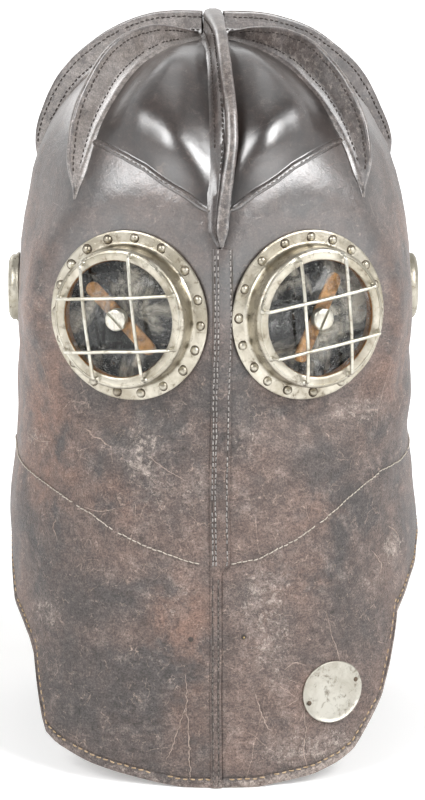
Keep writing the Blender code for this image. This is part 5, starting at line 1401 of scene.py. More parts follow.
def build_glass(side, word):
    """Both panes of a window and what holds them, each by its bore and its two levels."""
    front = CHAMBER_BACK - GAP
    back = front - LIP_THICK
    hole = SPINDLE + GAP
    for name, node, size, edge, material, smooth in (
            ("pane_", "window_glass_", (hole, PANE_BACK, PANE_FRONT), 0.0003, pane, 30),
            ("spacer_ring_", "window_spacer_", (PANE_RADIUS - 0.003, CHAMBER_BACK, PANE_BACK - GAP),
             0.0003, rust, 40),
            ("inner_pane_", "inner_glass_", (0, back, front), 0.0003, back_panes[side], 30),
            ("retainer_", "window_retainer_", (PANE_RADIUS - 0.004, BARREL_END, back - GAP),
             0.0004, brass, 40)):
        inner, low, high = size
        profile = softened([(inner, low), (PANE_RADIUS, low), (PANE_RADIUS, high), (inner, high)],
                           edge, 2)
        piece(name + word, spun(profile, window_frame(side)), material, "shell", [node + word],
              smooth=smooth)


def guard_wire(tilt, spacing, aside, level, seed):
    """Two parallel wires, arched from lip to lip, with a drop of solder at each foot."""
    parts = []
    drop = [(0, -0.0004), (0.0020, -0.0004), (0.0019, 0.0003), (0.0015, 0.0009), (0.0012, 0.0016),
            (0.0010, 0.0022), (0, 0.0022)]
    for offset in (aside + spacing / 2, aside - spacing / 2):
        reach = sqrt(WIRE_SEAT ** 2 - offset ** 2)
        foot = [(reach, DRUM_HEIGHT + 0.0001), (reach - 0.0002, DRUM_HEIGHT + 0.0016),
                (reach - 0.0013, level - 0.0006)]
        points = [Vector((-along, offset, height)) for along, height in foot]
        for step in range(9):
            share = step / 4 - 1
            sway = 0.00045 * noise.noise(Vector((share * 1.4, offset * 60, seed)))
            points.append(Vector((share * (reach - 0.003), offset + sway,
                                  level + 0.0020 * (1 - share ** 2))))
        points += [Vector((along, offset, height)) for along, height in reversed(foot)]
        parts.append(tube(smooth_route(points, 5), WIRE_RADIUS, 14))
        for end in (-1, 1):
            parts.append(spun(drop, shift(end * reach, offset, DRUM_HEIGHT), 18))
    return moved(merged(parts), spin(tilt))


def build_guard(side, word):
    base = DRUM_HEIGHT + 0.0042
    tilt, spacing, aside = UPRIGHTS[side]
    parts = [guard_wire(90 + tilt, spacing, aside, base, side * 3.1),
             guard_wire(*LEVELS[side], base + 0.0012, side * 5.7)]
    piece("wire_guard_" + word, moved(merged(parts), window_frame(side)), wire_metal, "shell",
          ["window_guard_" + word], smooth=60)


def bar(length, width, low, high, hole, edge=0.0003):
    """Round-ended bar with a bore in the middle and softened edges."""
    outline = []
    for end in (1, -1):
        for step in range(13):
            turn = pi * (step / 12 - 0.5) + (0 if end > 0 else pi)
            outline.append((end * (length - width) / 2 + width / 2 * cos(turn),
                            width / 2 * sin(turn)))
    rings = []
    for level, inset in ((low, edge), (low + edge, 0), (high - edge, 0), (high, edge)):
        scale_x, scale_y = 1 - 2 * inset / length, 1 - 2 * inset / width
        rings.append([Vector((x * scale_x, y * scale_y, level)) for x, y in outline])
    for level in (high, low):
        rings.append([Vector((hole * x / hypot(x, y), hole * y / hypot(x, y), level))
                      for x, y in outline])
    return loft(rings, closed=True)


def build_wiper(side, word):
    """Knob outside the glass; behind it a felt blade on an arm, both on the knob's shaft."""
    body = "wiper_" + word
    turned = window_frame(side) @ spin(WIPER_ANGLES[side])
    low, felt_high = PANE_FRONT + GAP, PANE_BACK - GAP
    top, felt_low = low + 0.0055, felt_high - 0.0022
    arm_high = felt_low - GAP
    arm_low = arm_high - 0.0012
    radius = 0.00675
    knob = [(0.0, arm_low), (SPINDLE, arm_low), (SPINDLE, low), (radius - 0.0003, low),
            (radius, low + 0.0003), (radius, top - 0.0012), (radius - 0.0003, top - 0.0005),
            (radius - 0.0011, top), (0.0, top)]
    item = piece("wiper_knob_look_" + word, spun(knob, turned, 64), wire_metal, body,
                 ["wiper_knob_" + word], smooth=40)
    slot = square_ended(((-0.02, -0.0009), (0.02, -0.0009), (0.02, 0.0009), (-0.02, 0.0009)),
                        (top - 0.0018, top + 0.01))
    cut(item, moved(slot, turned))
    blade = bar(WIPER_LENGTH, FELT_WIDTH, felt_low, felt_high, SPINDLE + GAP, 0.0004)
    worn = [point + Vector((0, noise.noise(point * 240) * 0.0005 * (abs(point.y) > 0.003), 0))
            for point in blade[0]]
    piece("felt_blade_" + word, moved((worn, blade[1]), turned), felt, body,
          ["wiper_felt_" + word], smooth=40)
    arm = bar(WIPER_LENGTH, ARM_WIDTH, arm_low, arm_high, SPINDLE + GAP)
    piece("wiper_bar_" + word, moved(arm, turned), brass, body, ["wiper_arm_" + word], smooth=40)


for side, word in SIDES:
    build_bezel(side, word)
    build_glass(side, word)
    build_guard(side, word)
    build_wiper(side, word)


# Ear pieces

EAR_SPIGOT, EAR_CAP, EAR_WALL, EAR_BASE = 0.0150 - GAP, 0.0212, 0.0012, 0.0015

for side, word in SIDES:
    seat = axis_frame(Vector((side * (HALF_WIDTH - EAR_SINK + GAP), SHIFT, EAR_HEIGHT)),
                      Vector((side, 0, 0)))
    bore = EAR_SPIGOT - EAR_WALL
    base = softened([(bore, -LEATHER - GAP), (EAR_SPIGOT, -LEATHER - GAP), (EAR_SPIGOT, 0),
                     (EAR_RADIUS, 0), (EAR_RADIUS, EAR_BASE), (bore, EAR_BASE)], 0.0004, 2)
    piece("ear_plate_" + word, spun(base, seat), ear_metal, "shell", ["ear_base_" + word],
          smooth=40)
    level = EAR_BASE + GAP
    inside = EAR_CAP - EAR_WALL
    sheet = [(0, level), (inside - GAP, level), (inside - GAP, level + 0.0006)]
    sheet += [(inside * share, level + 0.0006 + 0.0004 * (number % 2))
              for number, share in enumerate((0.88, 0.80, 0.72, 0.64, 0.56, 0.48))]
    sheet += [(inside * 0.36, level + 0.0018), (0, level + 0.0018)]
    piece("ear_disc_" + word, spun(sheet, seat, 72), brass, "shell", ["ear_diaphragm_" + word],
          smooth=40)
    top = level + 0.0054
    under = top - 0.0011
    cap = [(inside, level), (EAR_CAP, level), (EAR_CAP, top - 0.0030), (0.0208, top - 0.0022),
           (0.0198, top - 0.0013), (0.0186, top - 0.0006), (0.0170, top - 0.0001), (0.0150, top),
           (0.0050, top), (0.0042, top + 0.0001), (0.0036, top - 0.0002), (0.0035, top - 0.0007),
           (0.0038, under), (0.0150, under), (0.0180, top - 0.0018), (inside, top - 0.0032)]
    item = piece("ear_cover_" + word, spun(cap, seat), ear_metal, "shell", ["ear_cap_" + word],
                 smooth=40)
    hole = [(0, -0.004), (0.0024, -0.004), (0.0024, 0.004), (0, 0.004)]
    cut(item, merged([spun(hole, seat @ Matrix.Translation(place), 28)
                      for place in circle(0.0110, top, 6)]))
    rim = tube(circle(0.0217, 0.0017, 90), 0.0004, 8, closed=True)
    piece("ear_rim_" + word, moved(rim, seat), ear_metal, smooth=60)


# Round bare plate

PLATE_ANGLE, PLATE_HEIGHT = 30.5, 0.0555
PLATE_WIDER, PLATE_LOWER = 1.06, 0.93
plate_middle = shell_point(PLATE_ANGLE, latitude_at(PLATE_HEIGHT))


def over_leather(along, climb, lift):
    """Point over the leather round the plate's middle, the plate being a little flattened."""
    x = plate_middle.x + along * PLATE_WIDER * cos(radians(PLATE_ANGLE))
    latitude = latitude_at(PLATE_HEIGHT + climb * PLATE_LOWER)
    angle = angle_at_side(x, latitude)
    point = shell_point(angle, latitude)
    return point + shell_normal(angle, latitude) * (lift + waves(point) * 0.5)


def plate_ring(radius, lift):
    ring = []
    for turn in full_turn(96):
        size = radius * (1 + 0.006 * noise.noise(Vector((cos(turn) * 2, sin(turn) * 2, 5))))
        ring.append(over_leather(size * cos(turn), size * sin(turn), lift))
    return ring


rings = [plate_ring(radius, lift) for radius, lift in (
    (0.0005, 0.0002), (0.010, 0.0002), (0.0196, 0.0002), (0.0203, 0.0003), (0.0205, 0.0009),
    (0.0202, 0.0014), (0.0198, 0.00155), (0.0194, 0.0014), (0.0190, 0.0011), (0.0160, 0.0010),
    (0.0120, 0.00095), (0.0080, 0.0009), (0.0040, 0.0009), (0.0005, 0.0009))]
piece("plate_look", loft(rings), plate_metal, "shell", ["bare_plate"], smooth=50)
heads = []
upward = shell_normal(PLATE_ANGLE, latitude_at(PLATE_HEIGHT))
for along in (0.017, -0.017):
    foot = over_leather(along * cos(radians(19)), along * sin(radians(19)), 0.0008)
    heads.append(moved(dome(0.0015, 0.0009, 0.0002, 20), axis_frame(foot, upward)))
piece("plate_pin_heads", merged(heads), grime, smooth=60)


# Air tank and what holds it

TANK_RADIUS, TANK_HALF, TANK_END, TANK_HEIGHT = 0.038, 0.085, 0.014, 0.075
TANK_WALL, TANK_OFF, NECK_HOLE = 0.0015, 0.006, 0.006
wall_back = shell_point(180, latitude_at(TANK_HEIGHT))
TANK = Vector((0, wall_back.y + TANK_OFF + TANK_RADIUS, TANK_HEIGHT))
tank_frame = axis_frame(TANK, Vector((1, 0, 0)))
straight = TANK_HALF - TANK_END


def tank_end(side, inset):
    """Rounded end of the tank's profile, from its neck to its wall."""
    return [(max((TANK_RADIUS - inset) * cos(turn), NECK_HOLE),
             side * (straight + (TANK_END - inset) * max(sin(turn), 0)))
            for turn in (pi / 2 * (1 - step / 12) for step in range(13))]


wall = [(TANK_RADIUS, -straight * share) for share in (0.8, 0.6, 0.4, 0.2)]
wall += [(TANK_RADIUS, straight * share) for share in (0, 0.2, 0.4, 0.6, 0.8)]
outer = tank_end(-1, 0) + wall + tank_end(1, 0)[::-1]
inner = tank_end(-1, TANK_WALL) + tank_end(1, TANK_WALL)[::-1]
vertices, faces = revolve(outer + inner[::-1], 120)
dented = []
for point in vertices:
    radial = Vector((point.x, point.y, 0))
    share = smooth_step(hypot(point.x, point.y), 0.030, TANK_RADIUS)
    dented.append(point + radial.normalized() * (noise.noise(point * 22) - 1) * 0.0003 * share)
piece("air_tank_look", moved((dented, faces), tank_frame), tank_metal, "shell", ["air_tank"],
      smooth=40)
seams = [tube(circle(TANK_RADIUS, along, 96), 0.0008, 8, closed=True) for along in (-0.069, 0.069)]
piece("tank_seams", moved(merged(seams), tank_frame), tank_metal, smooth=60)


def back_place(side, height, lift=0.0):
    """Point over the plain back at a side distance and a height, and the normal there."""
    latitude = latitude_at(height)
    return lifted(angle_at_side(side, latitude, True), latitude, lift)


def strap_rings(middle):
    """Sections of a band that runs from the leather over the tank and back."""
    radius = TANK_RADIUS + GAP
    path = [("wall", TANK.z + radius + 0.018 * (1 - step / 6)) for step in range(7)]
    path += [("arc", pi / 2 - pi * step / 48) for step in range(49)]
    path += [("wall", TANK.z - radius - 0.018 * step / 6) for step in range(7)]

    def place(kind, value, side):
        if kind == "wall":
            return Vector((side, back_place(side, value, 0.0008)[0].y, value))
        return Vector((side, TANK.y + radius * cos(value), TANK.z + radius * sin(value)))

    sections = []
    for index, stop in enumerate(path):
        lower, upper = [], []
        for side, thick in ((-0.0080, 0.0010), (-0.0074, 0.0014), (0.0074, 0.0014),
                            (0.0080, 0.0010)):
            here = place(*stop, middle + side)
            ahead = (place(*path[min(index + 1, len(path) - 1)], middle + side)
                     - place(*path[max(index - 1, 0)], middle + side))
            lower.append(here)
            upper.append(here + Vector((0, -ahead.z, ahead.y)).normalized() * thick)
        sections.append(lower + upper[::-1])
    return sections


for middle, word in ((0.050, "left"), (-0.050, "right")):
    piece("strap_band_" + word, loft(strap_rings(middle)), nickel, "shell",
          ["tank_strap_" + word], smooth=40)
    heads = [moved(dome(0.0024, 0.0017, 0, 20),
                   axis_frame(*back_place(middle + side, TANK.z + height, 0.0021)))
             for height in (TANK_RADIUS + 0.013, -TANK_RADIUS - 0.013)
             for side in (-0.0042, 0.0042)]
    piece("strap_rivets_" + word, merged(heads), wire_metal, smooth=50)

# Saddle: a leather block between shell and tank, with a groove down its middle
sections = []
radius = TANK_RADIUS + GAP
reach = asin(0.022 / radius)
groove_half = 0.0060 + GAP
sides = [groove_half, groove_half + GAP]
sides += [groove_half + (0.030 - groove_half) * share for share in (0.25, 0.5, 0.75, 0.95, 1.0)]
for side in [-half for half in reversed(sides)] + sides:
    lift = 0.0009 + (0.0022 if abs(side) <= groove_half else 0)
    soft = 0.0008 if abs(side) >= 0.0299 else 0
    ring = []
    for step in range(9):
        height = TANK.z + (0.044 - 2 * soft) * (step / 8 - 0.5)
        ring.append(Vector((side, back_place(side, height, lift)[0].y + soft, height)))
    for step in range(19):
        turn = (reach - soft / radius) * (1 - step / 9)
        ring.append(Vector((side, TANK.y - (radius + soft) * cos(turn),
                            TANK.z + (radius + soft) * sin(turn))))
    sections.append(ring)
saddle = piece("saddle_block", loft(sections), leather, "shell", ["tank_saddle"], smooth=50)
painted(saddle, 0.2, 0.25, 0.3)


# Outlet valve, pipe and inlet

valve_seat = axis_frame(TANK + Vector((-TANK_HALF, 0, 0)), Vector((-1, 0, 0)))
SPIGOT = NECK_HOLE - GAP
neck_end = GAP + 0.004
body_end = neck_end + 0.023
bore = 0.0022 + GAP
body_profile = softened(
    [(bore, -0.007), (SPIGOT, -0.007), (SPIGOT, GAP), (0.0090, GAP), (0.0090, neck_end),
     (0.0072, neck_end), (0.0072, neck_end + 0.0040), (0.0062, neck_end + 0.0052),
     (0.0062, body_end - 0.0052), (0.0072, body_end - 0.0040), (0.0072, body_end),
     (bore, body_end)], 0.0005, 3)
boss_profile = softened([(0, 0.0030), (0.0050, 0.0030), (0.0050, 0.0086), (0.0056, 0.0090),
                         (0.0056, 0.0126), (0.0050, 0.0130), (0, 0.0130)], 0.0004, 2)
outlet_level = neck_end + 0.0115
boss_turn = shift(0, 0, outlet_level) @ Matrix.Rotation(-pi / 2, 4, "X")
bulb = softened([(0, -0.0078), (0.0050, -0.0068), (0.0076, -0.0030), (0.0078, 0), (0.0076, 0.0030),
                 (0.0050, 0.0068), (0, 0.0078)], 0.002, 3)
body_parts = [revolve(body_profile, 72), spun(boss_profile, boss_turn, 48),
              spun(bulb, shift(0, 0, outlet_level), 48)]
piece("valve_housing", moved(merged(body_parts), valve_seat), brass, "shell", ["valve_body"],
      smooth=40)


def hexagon(bore_radius, corner, low, high):
    """Hexagonal nut with a round bore and chamfered corners."""
    sections = []
    for turn in full_turn(48):
        within = turn % (pi / 3) - pi / 6
        flat = corner * cos(pi / 6)
        edge = min(flat / cos(within), corner * 0.99)
        cut_edge = min(edge, corner * 0.93)
        chamfer = (edge - cut_edge) * 0.5 + 0.0002
        sections.append([Vector((size * cos(turn), size * sin(turn), level)) for size, level in (
            (bore_radius, low), (cut_edge, low), (edge, low + chamfer), (edge, high - chamfer),
            (cut_edge, high), (bore_radius, high))])
    return loft(sections, closed=True)


gland_low = body_end + GAP
gland_high = gland_low + 0.006
piece("gland_nut", moved(hexagon(bore, 0.0070, gland_low, gland_high), valve_seat), brass, "shell",
      ["valve_gland_nut"], smooth=30)
STEM_RADIUS, WHEEL_RADIUS, WHEEL_SCALLOPS = 0.0022, 0.016, 15
wheel_low = gland_high + GAP
wheel_high = wheel_low + 0.005
stem = softened([(0, wheel_high - 0.024), (STEM_RADIUS, wheel_high - 0.024),
                 (STEM_RADIUS, wheel_high + 0.0002), (0.0016, wheel_high + 0.0008),
                 (0, wheel_high + 0.0008)], 0.0004, 2)
piece("stem_look", spun(stem, valve_seat, 32), steel, "valve_spindle", ["valve_stem"], smooth=40)
middle = (wheel_low + wheel_high) / 2
sections = []
for turn in full_turn(120):
    scallop = 1 + 0.030 * (0.5 + 0.5 * cos(turn * WHEEL_SCALLOPS)) - 0.020
    ring = []
    for bend in full_turn(16):
        size = WHEEL_RADIUS * scallop + 0.0023 * cos(bend)
        ring.append(Vector((size * cos(turn), size * sin(turn), middle + 0.0024 * sin(bend))))
    sections.append(ring)
wheel_parts = [loft(sections, closed=True)]
hub = softened([(0.0023, wheel_low), (0.0048, wheel_low), (0.0048, wheel_high - 0.0012),
                (0.0040, wheel_high), (0.0023, wheel_high)], 0.0004, 2)
wheel_parts.append(revolve(hub, 40))
sections = []
for step in range(9):
    share = step / 8
    wide = 0.0016 - 0.0004 * sin(pi * share)
    dish = middle + 0.0006 * sin(pi * share)
    sections.append([Vector((0.0040 + 0.0115 * share, wide * cos(bend), dish + 0.0011 * sin(bend)))
                     for bend in full_turn(12)])
wheel_parts += [moved(loft(sections), Matrix.Rotation(turn, 4, "Z")) for turn in full_turn(5)]
piece("hand_wheel", moved(merged(wheel_parts), valve_seat), brass, "valve_spindle", ["valve_wheel"],
      smooth=50)

# The inlet stands over the collar by the collar's thickness, its nut's reach and some room
INLET_SIDE, INLET_RISE, COLLAR_THICK = -0.045, 0.0095 + 0.0195, 0.009
inlet_column = angle_at_side(INLET_SIDE, latitude_at(COLLAR_HIGH), True)
inlet_height = collar_height(inlet_column) + COLLAR_THICK + INLET_RISE
inlet_place, inlet_normal = back_place(INLET_SIDE, inlet_height, GAP)
inlet_seat = axis_frame(inlet_place, inlet_normal)
profile = softened([(0.0025, -0.012), (0.0055, -0.012), (0.0055, GAP), (0.012, GAP), (0.012, 0.002),
                    (0.0075, 0.0023), (0.0058, 0.0042), (0.0055, 0.0052), (0.0055, 0.0110),
                    (0.0025, 0.0110)], 0.0004, 3)
screws = [moved(dome(0.0015, 0.0009, 0.0022, 20),
                shift(0.0093 * cos(turn + pi / 4), 0.0093 * sin(turn + pi / 4)))
          for turn in full_turn(4)]
piece("inlet_fitting", moved(merged([revolve(profile, 64)] + screws), inlet_seat), brass, "shell",
      ["shell_inlet"], smooth=40)
nut_high = -LEATHER - 0.0012
piece("inlet_lock_nut", moved(hexagon(0.0058, 0.0095, nut_high - 0.0035, nut_high), inlet_seat),
      brass, "shell", ["inlet_nut"], smooth=30)
pipe_start = valve_seat @ Vector((0, 0.0133, outlet_level))
pipe_stop = inlet_seat @ Vector((0, 0, 0.0113))
rise = Vector((0, 0, 0.015))
bend = pipe_stop + inlet_normal * 0.015
route = [pipe_start, pipe_start + rise / 2, pipe_start + rise,
         pipe_start.lerp(bend, 0.45) + rise, bend, (bend + pipe_stop) / 2, pipe_stop]
parts = [tube(smooth_route(route, 14), 0.0029, 24)]
for seat in (Matrix.Translation(pipe_start), axis_frame(pipe_stop, inlet_normal)):
    parts.append(moved(hexagon(0.0020, 0.0062, 0.0001, 0.0062), seat))
piece("outlet_tube", merged(parts), brass, "shell", ["outlet_pipe"], smooth=40)


# Filler

filler_seat = axis_frame(TANK + Vector((TANK_HALF, 0, 0)), Vector((1, 0, 0)))
filler_end = GAP + 0.003 + 0.011
thread_profile = [(0.003, -0.007), (SPIGOT, -0.007), (SPIGOT, GAP), (0.0097, GAP), (0.0100, 0.0006),
                  (0.0100, 0.0029), (0.0096, 0.0033), (0.0066, 0.0033), (0.0062, 0.0040)]
for number in range(12):
    level = 0.0043 + (filler_end - 0.0053) * number / 12
    thread_profile += [(0.0062, level), (0.00645, level + 0.00028), (0.0062, level + 0.00056)]
thread_profile += [(0.0062, filler_end - 0.0006), (0.0058, filler_end), (0.003, filler_end)]
piece("filler_fitting", spun(thread_profile, filler_seat, 64), brass, "shell", ["filler_nipple"],
      smooth=30)
inside = 0.0065 + GAP
outside = inside + 0.002
cap_end = filler_end + GAP + 0.0025
cap_low = cap_end - 0.012
floor_level = filler_end + GAP + 0.0002
rib_steps = 144


def ribbed(size, level):
    ring = []
    for turn in full_turn(rib_steps):
        reach = size - 0.0005 * (1 - smooth_step(cos(turn * 24), -0.4, 0.4))
        ring.append(Vector((reach * cos(turn), reach * sin(turn), level)))
    return ring


cap_rings = [circle(size, level, rib_steps) for size, level in (
    (inside, cap_low), (outside - 0.0008, cap_low), (outside - 0.0004, cap_low + 0.0004))]
cap_rings += [ribbed(outside, cap_low + 0.0009), ribbed(outside, cap_end - 0.0026)]
cap_rings += [circle(size, level, rib_steps) for size, level in (
    (outside - 0.0004, cap_end - 0.0020), (outside - 0.0008, cap_end - 0.0008),
    (outside - 0.0018, cap_end - 0.0001), (outside - 0.0026, cap_end), (0.0030, cap_end),
    (0.0026, cap_end - 0.0006), (0.0006, cap_end - 0.0007), (0.0006, floor_level),
    (inside, floor_level))]
piece("ribbed_cap", moved(loft(cap_rings, closed=True), filler_seat), brass, "filler_lid",
      ["filler_cap"], smooth=35)


# Pressure gauge

GAUGE_RADIUS = 0.021
gauge_seat = axis_frame(Vector((0.010, TANK.y - 0.0065,
                                TANK.z + TANK_RADIUS + GAP + 0.008 + GAUGE_RADIUS)),
                        Vector((0, 1, 0)))
bore = GAUGE_RADIUS - 0.0016
profile = softened([(0, 0), (0.0190, 0), (0.0205, 0.0014), (0.0205, 0.0100), (0.0210, 0.0104),
                    (0.0212, 0.0120), (0.0206, 0.0131), (0.0200, 0.0133), (bore, 0.0126),
                    (bore, 0.002), (0, 0.002)], 0.0004, 3)
stem = softened([(0, 0.0195), (0.0040, 0.0195), (0.0040, 0.0240), (0.0048, 0.0246),
                 (0.0048, 0.0276), (0.0055, 0.0280), (0.0055, 0.0290), (0, 0.0290)], 0.0003, 2)
stem_turn = shift(0, 0, 0.0065) @ Matrix.Rotation(pi / 2, 4, "X")
piece("gauge_housing", moved(merged([revolve(profile, 96), spun(stem, stem_turn, 40)]), gauge_seat),
      brass, "shell", ["gauge_case"], smooth=40)
dial = softened([(0.0011, 0.004), (bore - GAP, 0.004), (bore - GAP, 0.0048), (0.0011, 0.0048)],
                0.0001, 1)
piece("dial_face", spun(dial, gauge_seat), enamel, "shell", ["gauge_dial"], smooth=30)
cover = softened([(0, 0.0105), (bore - GAP, 0.0105), (bore - GAP, 0.0120), (0, 0.0120)], 0.0002, 1)
piece("gauge_pane", spun(cover, gauge_seat, 72), dial_pane, "shell", ["gauge_glass"], smooth=30)
SCALE_START, SCALE_SWEEP, SCALE_REACH = 225, 270, 0.0182
marks = []
for number in range(51):
    length, half = 0.0015, 0.00009
    if number % 10 == 0:
        length, half = 0.0030, 0.00022
    elif number % 5 == 0:
        length, half = 0.0022, 0.00014
    start = SCALE_REACH - length
    mark = square_ended(((start, -half), (SCALE_REACH, -half), (SCALE_REACH, half), (start, half)),
                        (0.00475, 0.00487))
    marks.append(moved(mark, spin(SCALE_START - SCALE_SWEEP * number / 50)))
marks += [tube(circle(reach, 0.0048, 96), 0.00007, 4, closed=True) for reach in (0.0184, 0.0178)]
piece("dial_marks", moved(merged(marks), gauge_seat), ink, smooth=30)
for number in range(6):
    turn = radians(SCALE_START - SCALE_SWEEP * number / 5)
    text = bpy.data.curves.new("number", "FONT")
    text.body = str(number * 30)
    text.size = 0.0034
    text.extrude = 0.00006
    text.align_x, text.align_y = "CENTER", "CENTER"
    text.materials.append(ink)
    item = linked("dial_number_%d" % number, text)
    item.matrix_world = gauge_seat @ shift(0.0128 * cos(turn), 0.0128 * sin(turn), 0.00485)
    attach(item, "shell")
pointer_low = 0.004 + 0.0008 + 0.0014
pointer_high = pointer_low + 0.0006
spindle = [(0, 0.0023), (0.0008, 0.0023), (0.0008, pointer_low - 0.0006),
           (0.0016, pointer_low - 0.0006), (0.0016, pointer_high + 0.0004),
           (0.0012, pointer_high + 0.0006), (0, pointer_high + 0.0006)]
edge = [(-0.0045, -0.0010), (-0.0036, -0.0011), (-0.0020, -0.0005), (0, -0.0008),
        (0.0100, -0.0004), (0.0140, -0.0001)]
blade = square_ended(edge + [(x, -y) for x, y in reversed(edge)], (pointer_low, pointer_high))
piece("pointer_look", moved(merged([revolve(spindle, 24), blade]), gauge_seat @ spin(SCALE_START)),
      steel, "gauge_needle", ["gauge_pointer"], smooth=30)


# Soft parts inside

def ring_angles(count):
    return [-180 + 360 * step / count for step in range(count)]


def nearest(points):
    lookup = kdtree.KDTree(len(points))
    for index, point in enumerate(points):
        lookup.insert(point, index)
    lookup.balance()
    return lookup


def fine(item):
    modifier = item.modifiers.new("Fine", "SUBSURF")
    modifier.levels = modifier.render_levels = 1


# Mesh size and number of steps of the cloth simulation
CLOTH_MESH, CLOTH_STEPS = 0.0045, 20


def blown_up(item, hold, pressure, reach):
    """Swell a padded piece as cloth under pressure, by at most reach, held where hold says."""
    remesh = item.modifiers.new("Even", "REMESH")
    remesh.mode, remesh.voxel_size = "VOXEL", CLOTH_MESH
    applied(item)
    starts = [vertex.co.copy() for vertex in item.data.vertices]
    group = item.vertex_groups.new(name="held")
    for index, point in enumerate(starts):
        share = hold(point)
        if share > 0:
            group.add([index], share, "REPLACE")
    cloth = item.modifiers.new("Swell", "CLOTH")
    cloth.settings.quality = 5
    cloth.settings.mass = 0.2
    cloth.settings.use_pressure = True
    cloth.settings.uniform_pressure_force = pressure
    cloth.settings.effector_weights.gravity = 0
    cloth.settings.vertex_group_mass = "held"
    cloth.settings.pin_stiffness = 50
    cloth.collision_settings.use_collision = False
    for frame_number in range(1, CLOTH_STEPS + 1):
        bpy.context.scene.frame_set(frame_number)
    applied(item)
    bpy.context.scene.frame_set(1)
    for vertex, start in zip(item.data.vertices, starts):
        travel = vertex.co - start
        if travel.length > reach:
            vertex.co = start + travel.normalized() * reach


PAD_OUT, PAD_THICK, PAD_SECTORS, PAD_BANDS = LEATHER + 0.0014, 0.014, 12, 3


def pad_place(angle, share, depth):
    """Point and inward normal inside the crown, from its top (0) to the pad's edge (1)."""
    point, normal = lifted(angle, 88 + (latitude_at(BROW_HIGH) - 88) * share * 0.6, -depth)
    return point, -normal


sections, inner_rings, pad_grid = [], [], []
for step in range(25):
    share = step / 24
    ring, inner_ring = [], []
    for angle in ring_angles(144):
        sector = ((angle + 180) / (360 / PAD_SECTORS)) % 1
        seam = min(sector, 1 - sector) * 2
        band = (share * PAD_BANDS) % 1 if 0 < share < 1 else 0
        row = min(band, 1 - band) * 2
        swell = smooth_step(min(seam * 1.4, row), 0, 0.75)
        rim = smooth_step(1 - share, 0, 0.05) if share > 0.9 else 1
        depth = PAD_OUT + PAD_THICK * (0.34 + 0.30 * swell * max(rim, 0.3))
        ring.append(pad_place(angle, share, PAD_OUT + 0.0006)[0])
        inner_ring.append(pad_place(angle, share, depth)[0])
        held = max(1 - smooth_step(seam, 0.06, 0.22), 1 - smooth_step(row, 0.10, 0.32))
        pad_grid.append((inner_ring[-1], held))
    sections.append(ring)
    inner_rings.append(inner_ring)
pad = piece("quilted_cap", loft(sections + inner_rings[::-1]), wool, "shell", ["crown_pad"],
            smooth=180)
lookup = nearest([point for point, held in pad_grid])

def pad_hold(point):
    place, index, off = lookup.find(point)
    return 1.0 if off > 0.0032 else pad_grid[index][1]

blown_up(pad, pad_hold, 3.0, 0.0045)
fine(pad)
quilt_depth = PAD_OUT + PAD_THICK * 0.34 + 0.0006
routes = [[pad_place(angle, step / 49, quilt_depth) for step in range(2, 48)]
          for angle in ring_angles(PAD_SECTORS)]
routes += [[pad_place(angle, share, quilt_depth) for angle in ring_angles(144) + [180]]
           for share in (1 / 3, 2 / 3)]
stitches("quilting_stitches", routes, 0.0052, 0.0034, 0.00045, pale_thread, 81)

NECK_HALF_WIDTH, NECK_HALF_DEPTH = 0.064, 0.070
NECK_LEVEL = (COLLAR_LOW + COLLAR_HIGH) / 2 - 0.012


def collar_ring(angle):
    """Section of the neck collar: from the leather wall over its top to the neck."""
    wall = lifted(angle, latitude_at(collar_height(angle)), -LEATHER - 0.0014)[0]
    turn = atan2(wall.x / NECK_HALF_WIDTH, -(wall.y - SHIFT) / NECK_HALF_DEPTH)
    neck = Vector((NECK_HALF_WIDTH * sin(turn), SHIFT - NECK_HALF_DEPTH * cos(turn), NECK_LEVEL))
    outward = Vector((sin(turn), -cos(turn), 0))
    thick = COLLAR_THICK
    gather = 0.0007 * sin(radians(angle) * 44) + 0.0006 * noise.noise(Vector((angle * 0.2, 0, 3)))
    up = Vector((0, 0, 1))
    ring = [wall + up * 0.0010, wall + up * thick * 0.95 - outward * 0.0006]
    for share in (0.2, 0.4, 0.6, 0.8):
        ring.append(wall.lerp(neck, share) + up * (thick * (1.0 + 0.55 * sin(pi * share)) + gather))
    ring += [neck + outward * 0.0050 + up * 0.0052, neck + outward * 0.0018 + up * 0.0040,
             neck + outward * 0.0001 + up * 0.0012, neck + outward * 0.0004 - up * 0.0018,
             neck + outward * 0.0028 - up * 0.0042, neck + outward * 0.0060 - up * 0.0046]
    for share in (0.75, 0.5, 0.25):
        ring.append(wall.lerp(neck, share)
                    + up * (thick * 0.52 * sin(pi * share) - 0.0004 + gather * 0.6))
    return ring


collar_sections = [collar_ring(angle) for angle in ring_angles(180)[::-1]]
collar = piece("padded_collar", loft(collar_sections, closed=True), wool, "shell", ["neck_collar"],
               smooth=180)
edges = nearest([ring[corner] for ring in collar_sections for corner in (0, 1, 8, 9)])

def collar_hold(point):
    return 1 - smooth_step(edges.find(point)[2], 0.0035, 0.0075)

blown_up(collar, collar_hold, 2.5, 0.0035)
fine(collar)


# Solids of the frame that no piece replaces keep their own form

FINISH = {"leather": leather, "nickel": nickel, "brass": brass, "steel": steel, "glass": dial_pane,
          "felt": felt, "wool": wool, "enamel": enamel}
for item in list(bpy.data.objects):
    if item.type == "MESH" and item.name in frame["nodes"]:
        for socket in item.material_slots:
            name = socket.material.name.split(".")[0] if socket.material else ""
            if name in FINISH:
                socket.material = FINISH[name]


# Camera, floor and light

def aim(item, target):
    item.rotation_euler = (Vector(target) - item.location).to_track_quat("-Z", "Y").to_euler()


AZIMUTH, ELEVATION, DISTANCE = radians(-1.6), radians(9.6), 1.9
SENSOR = 36
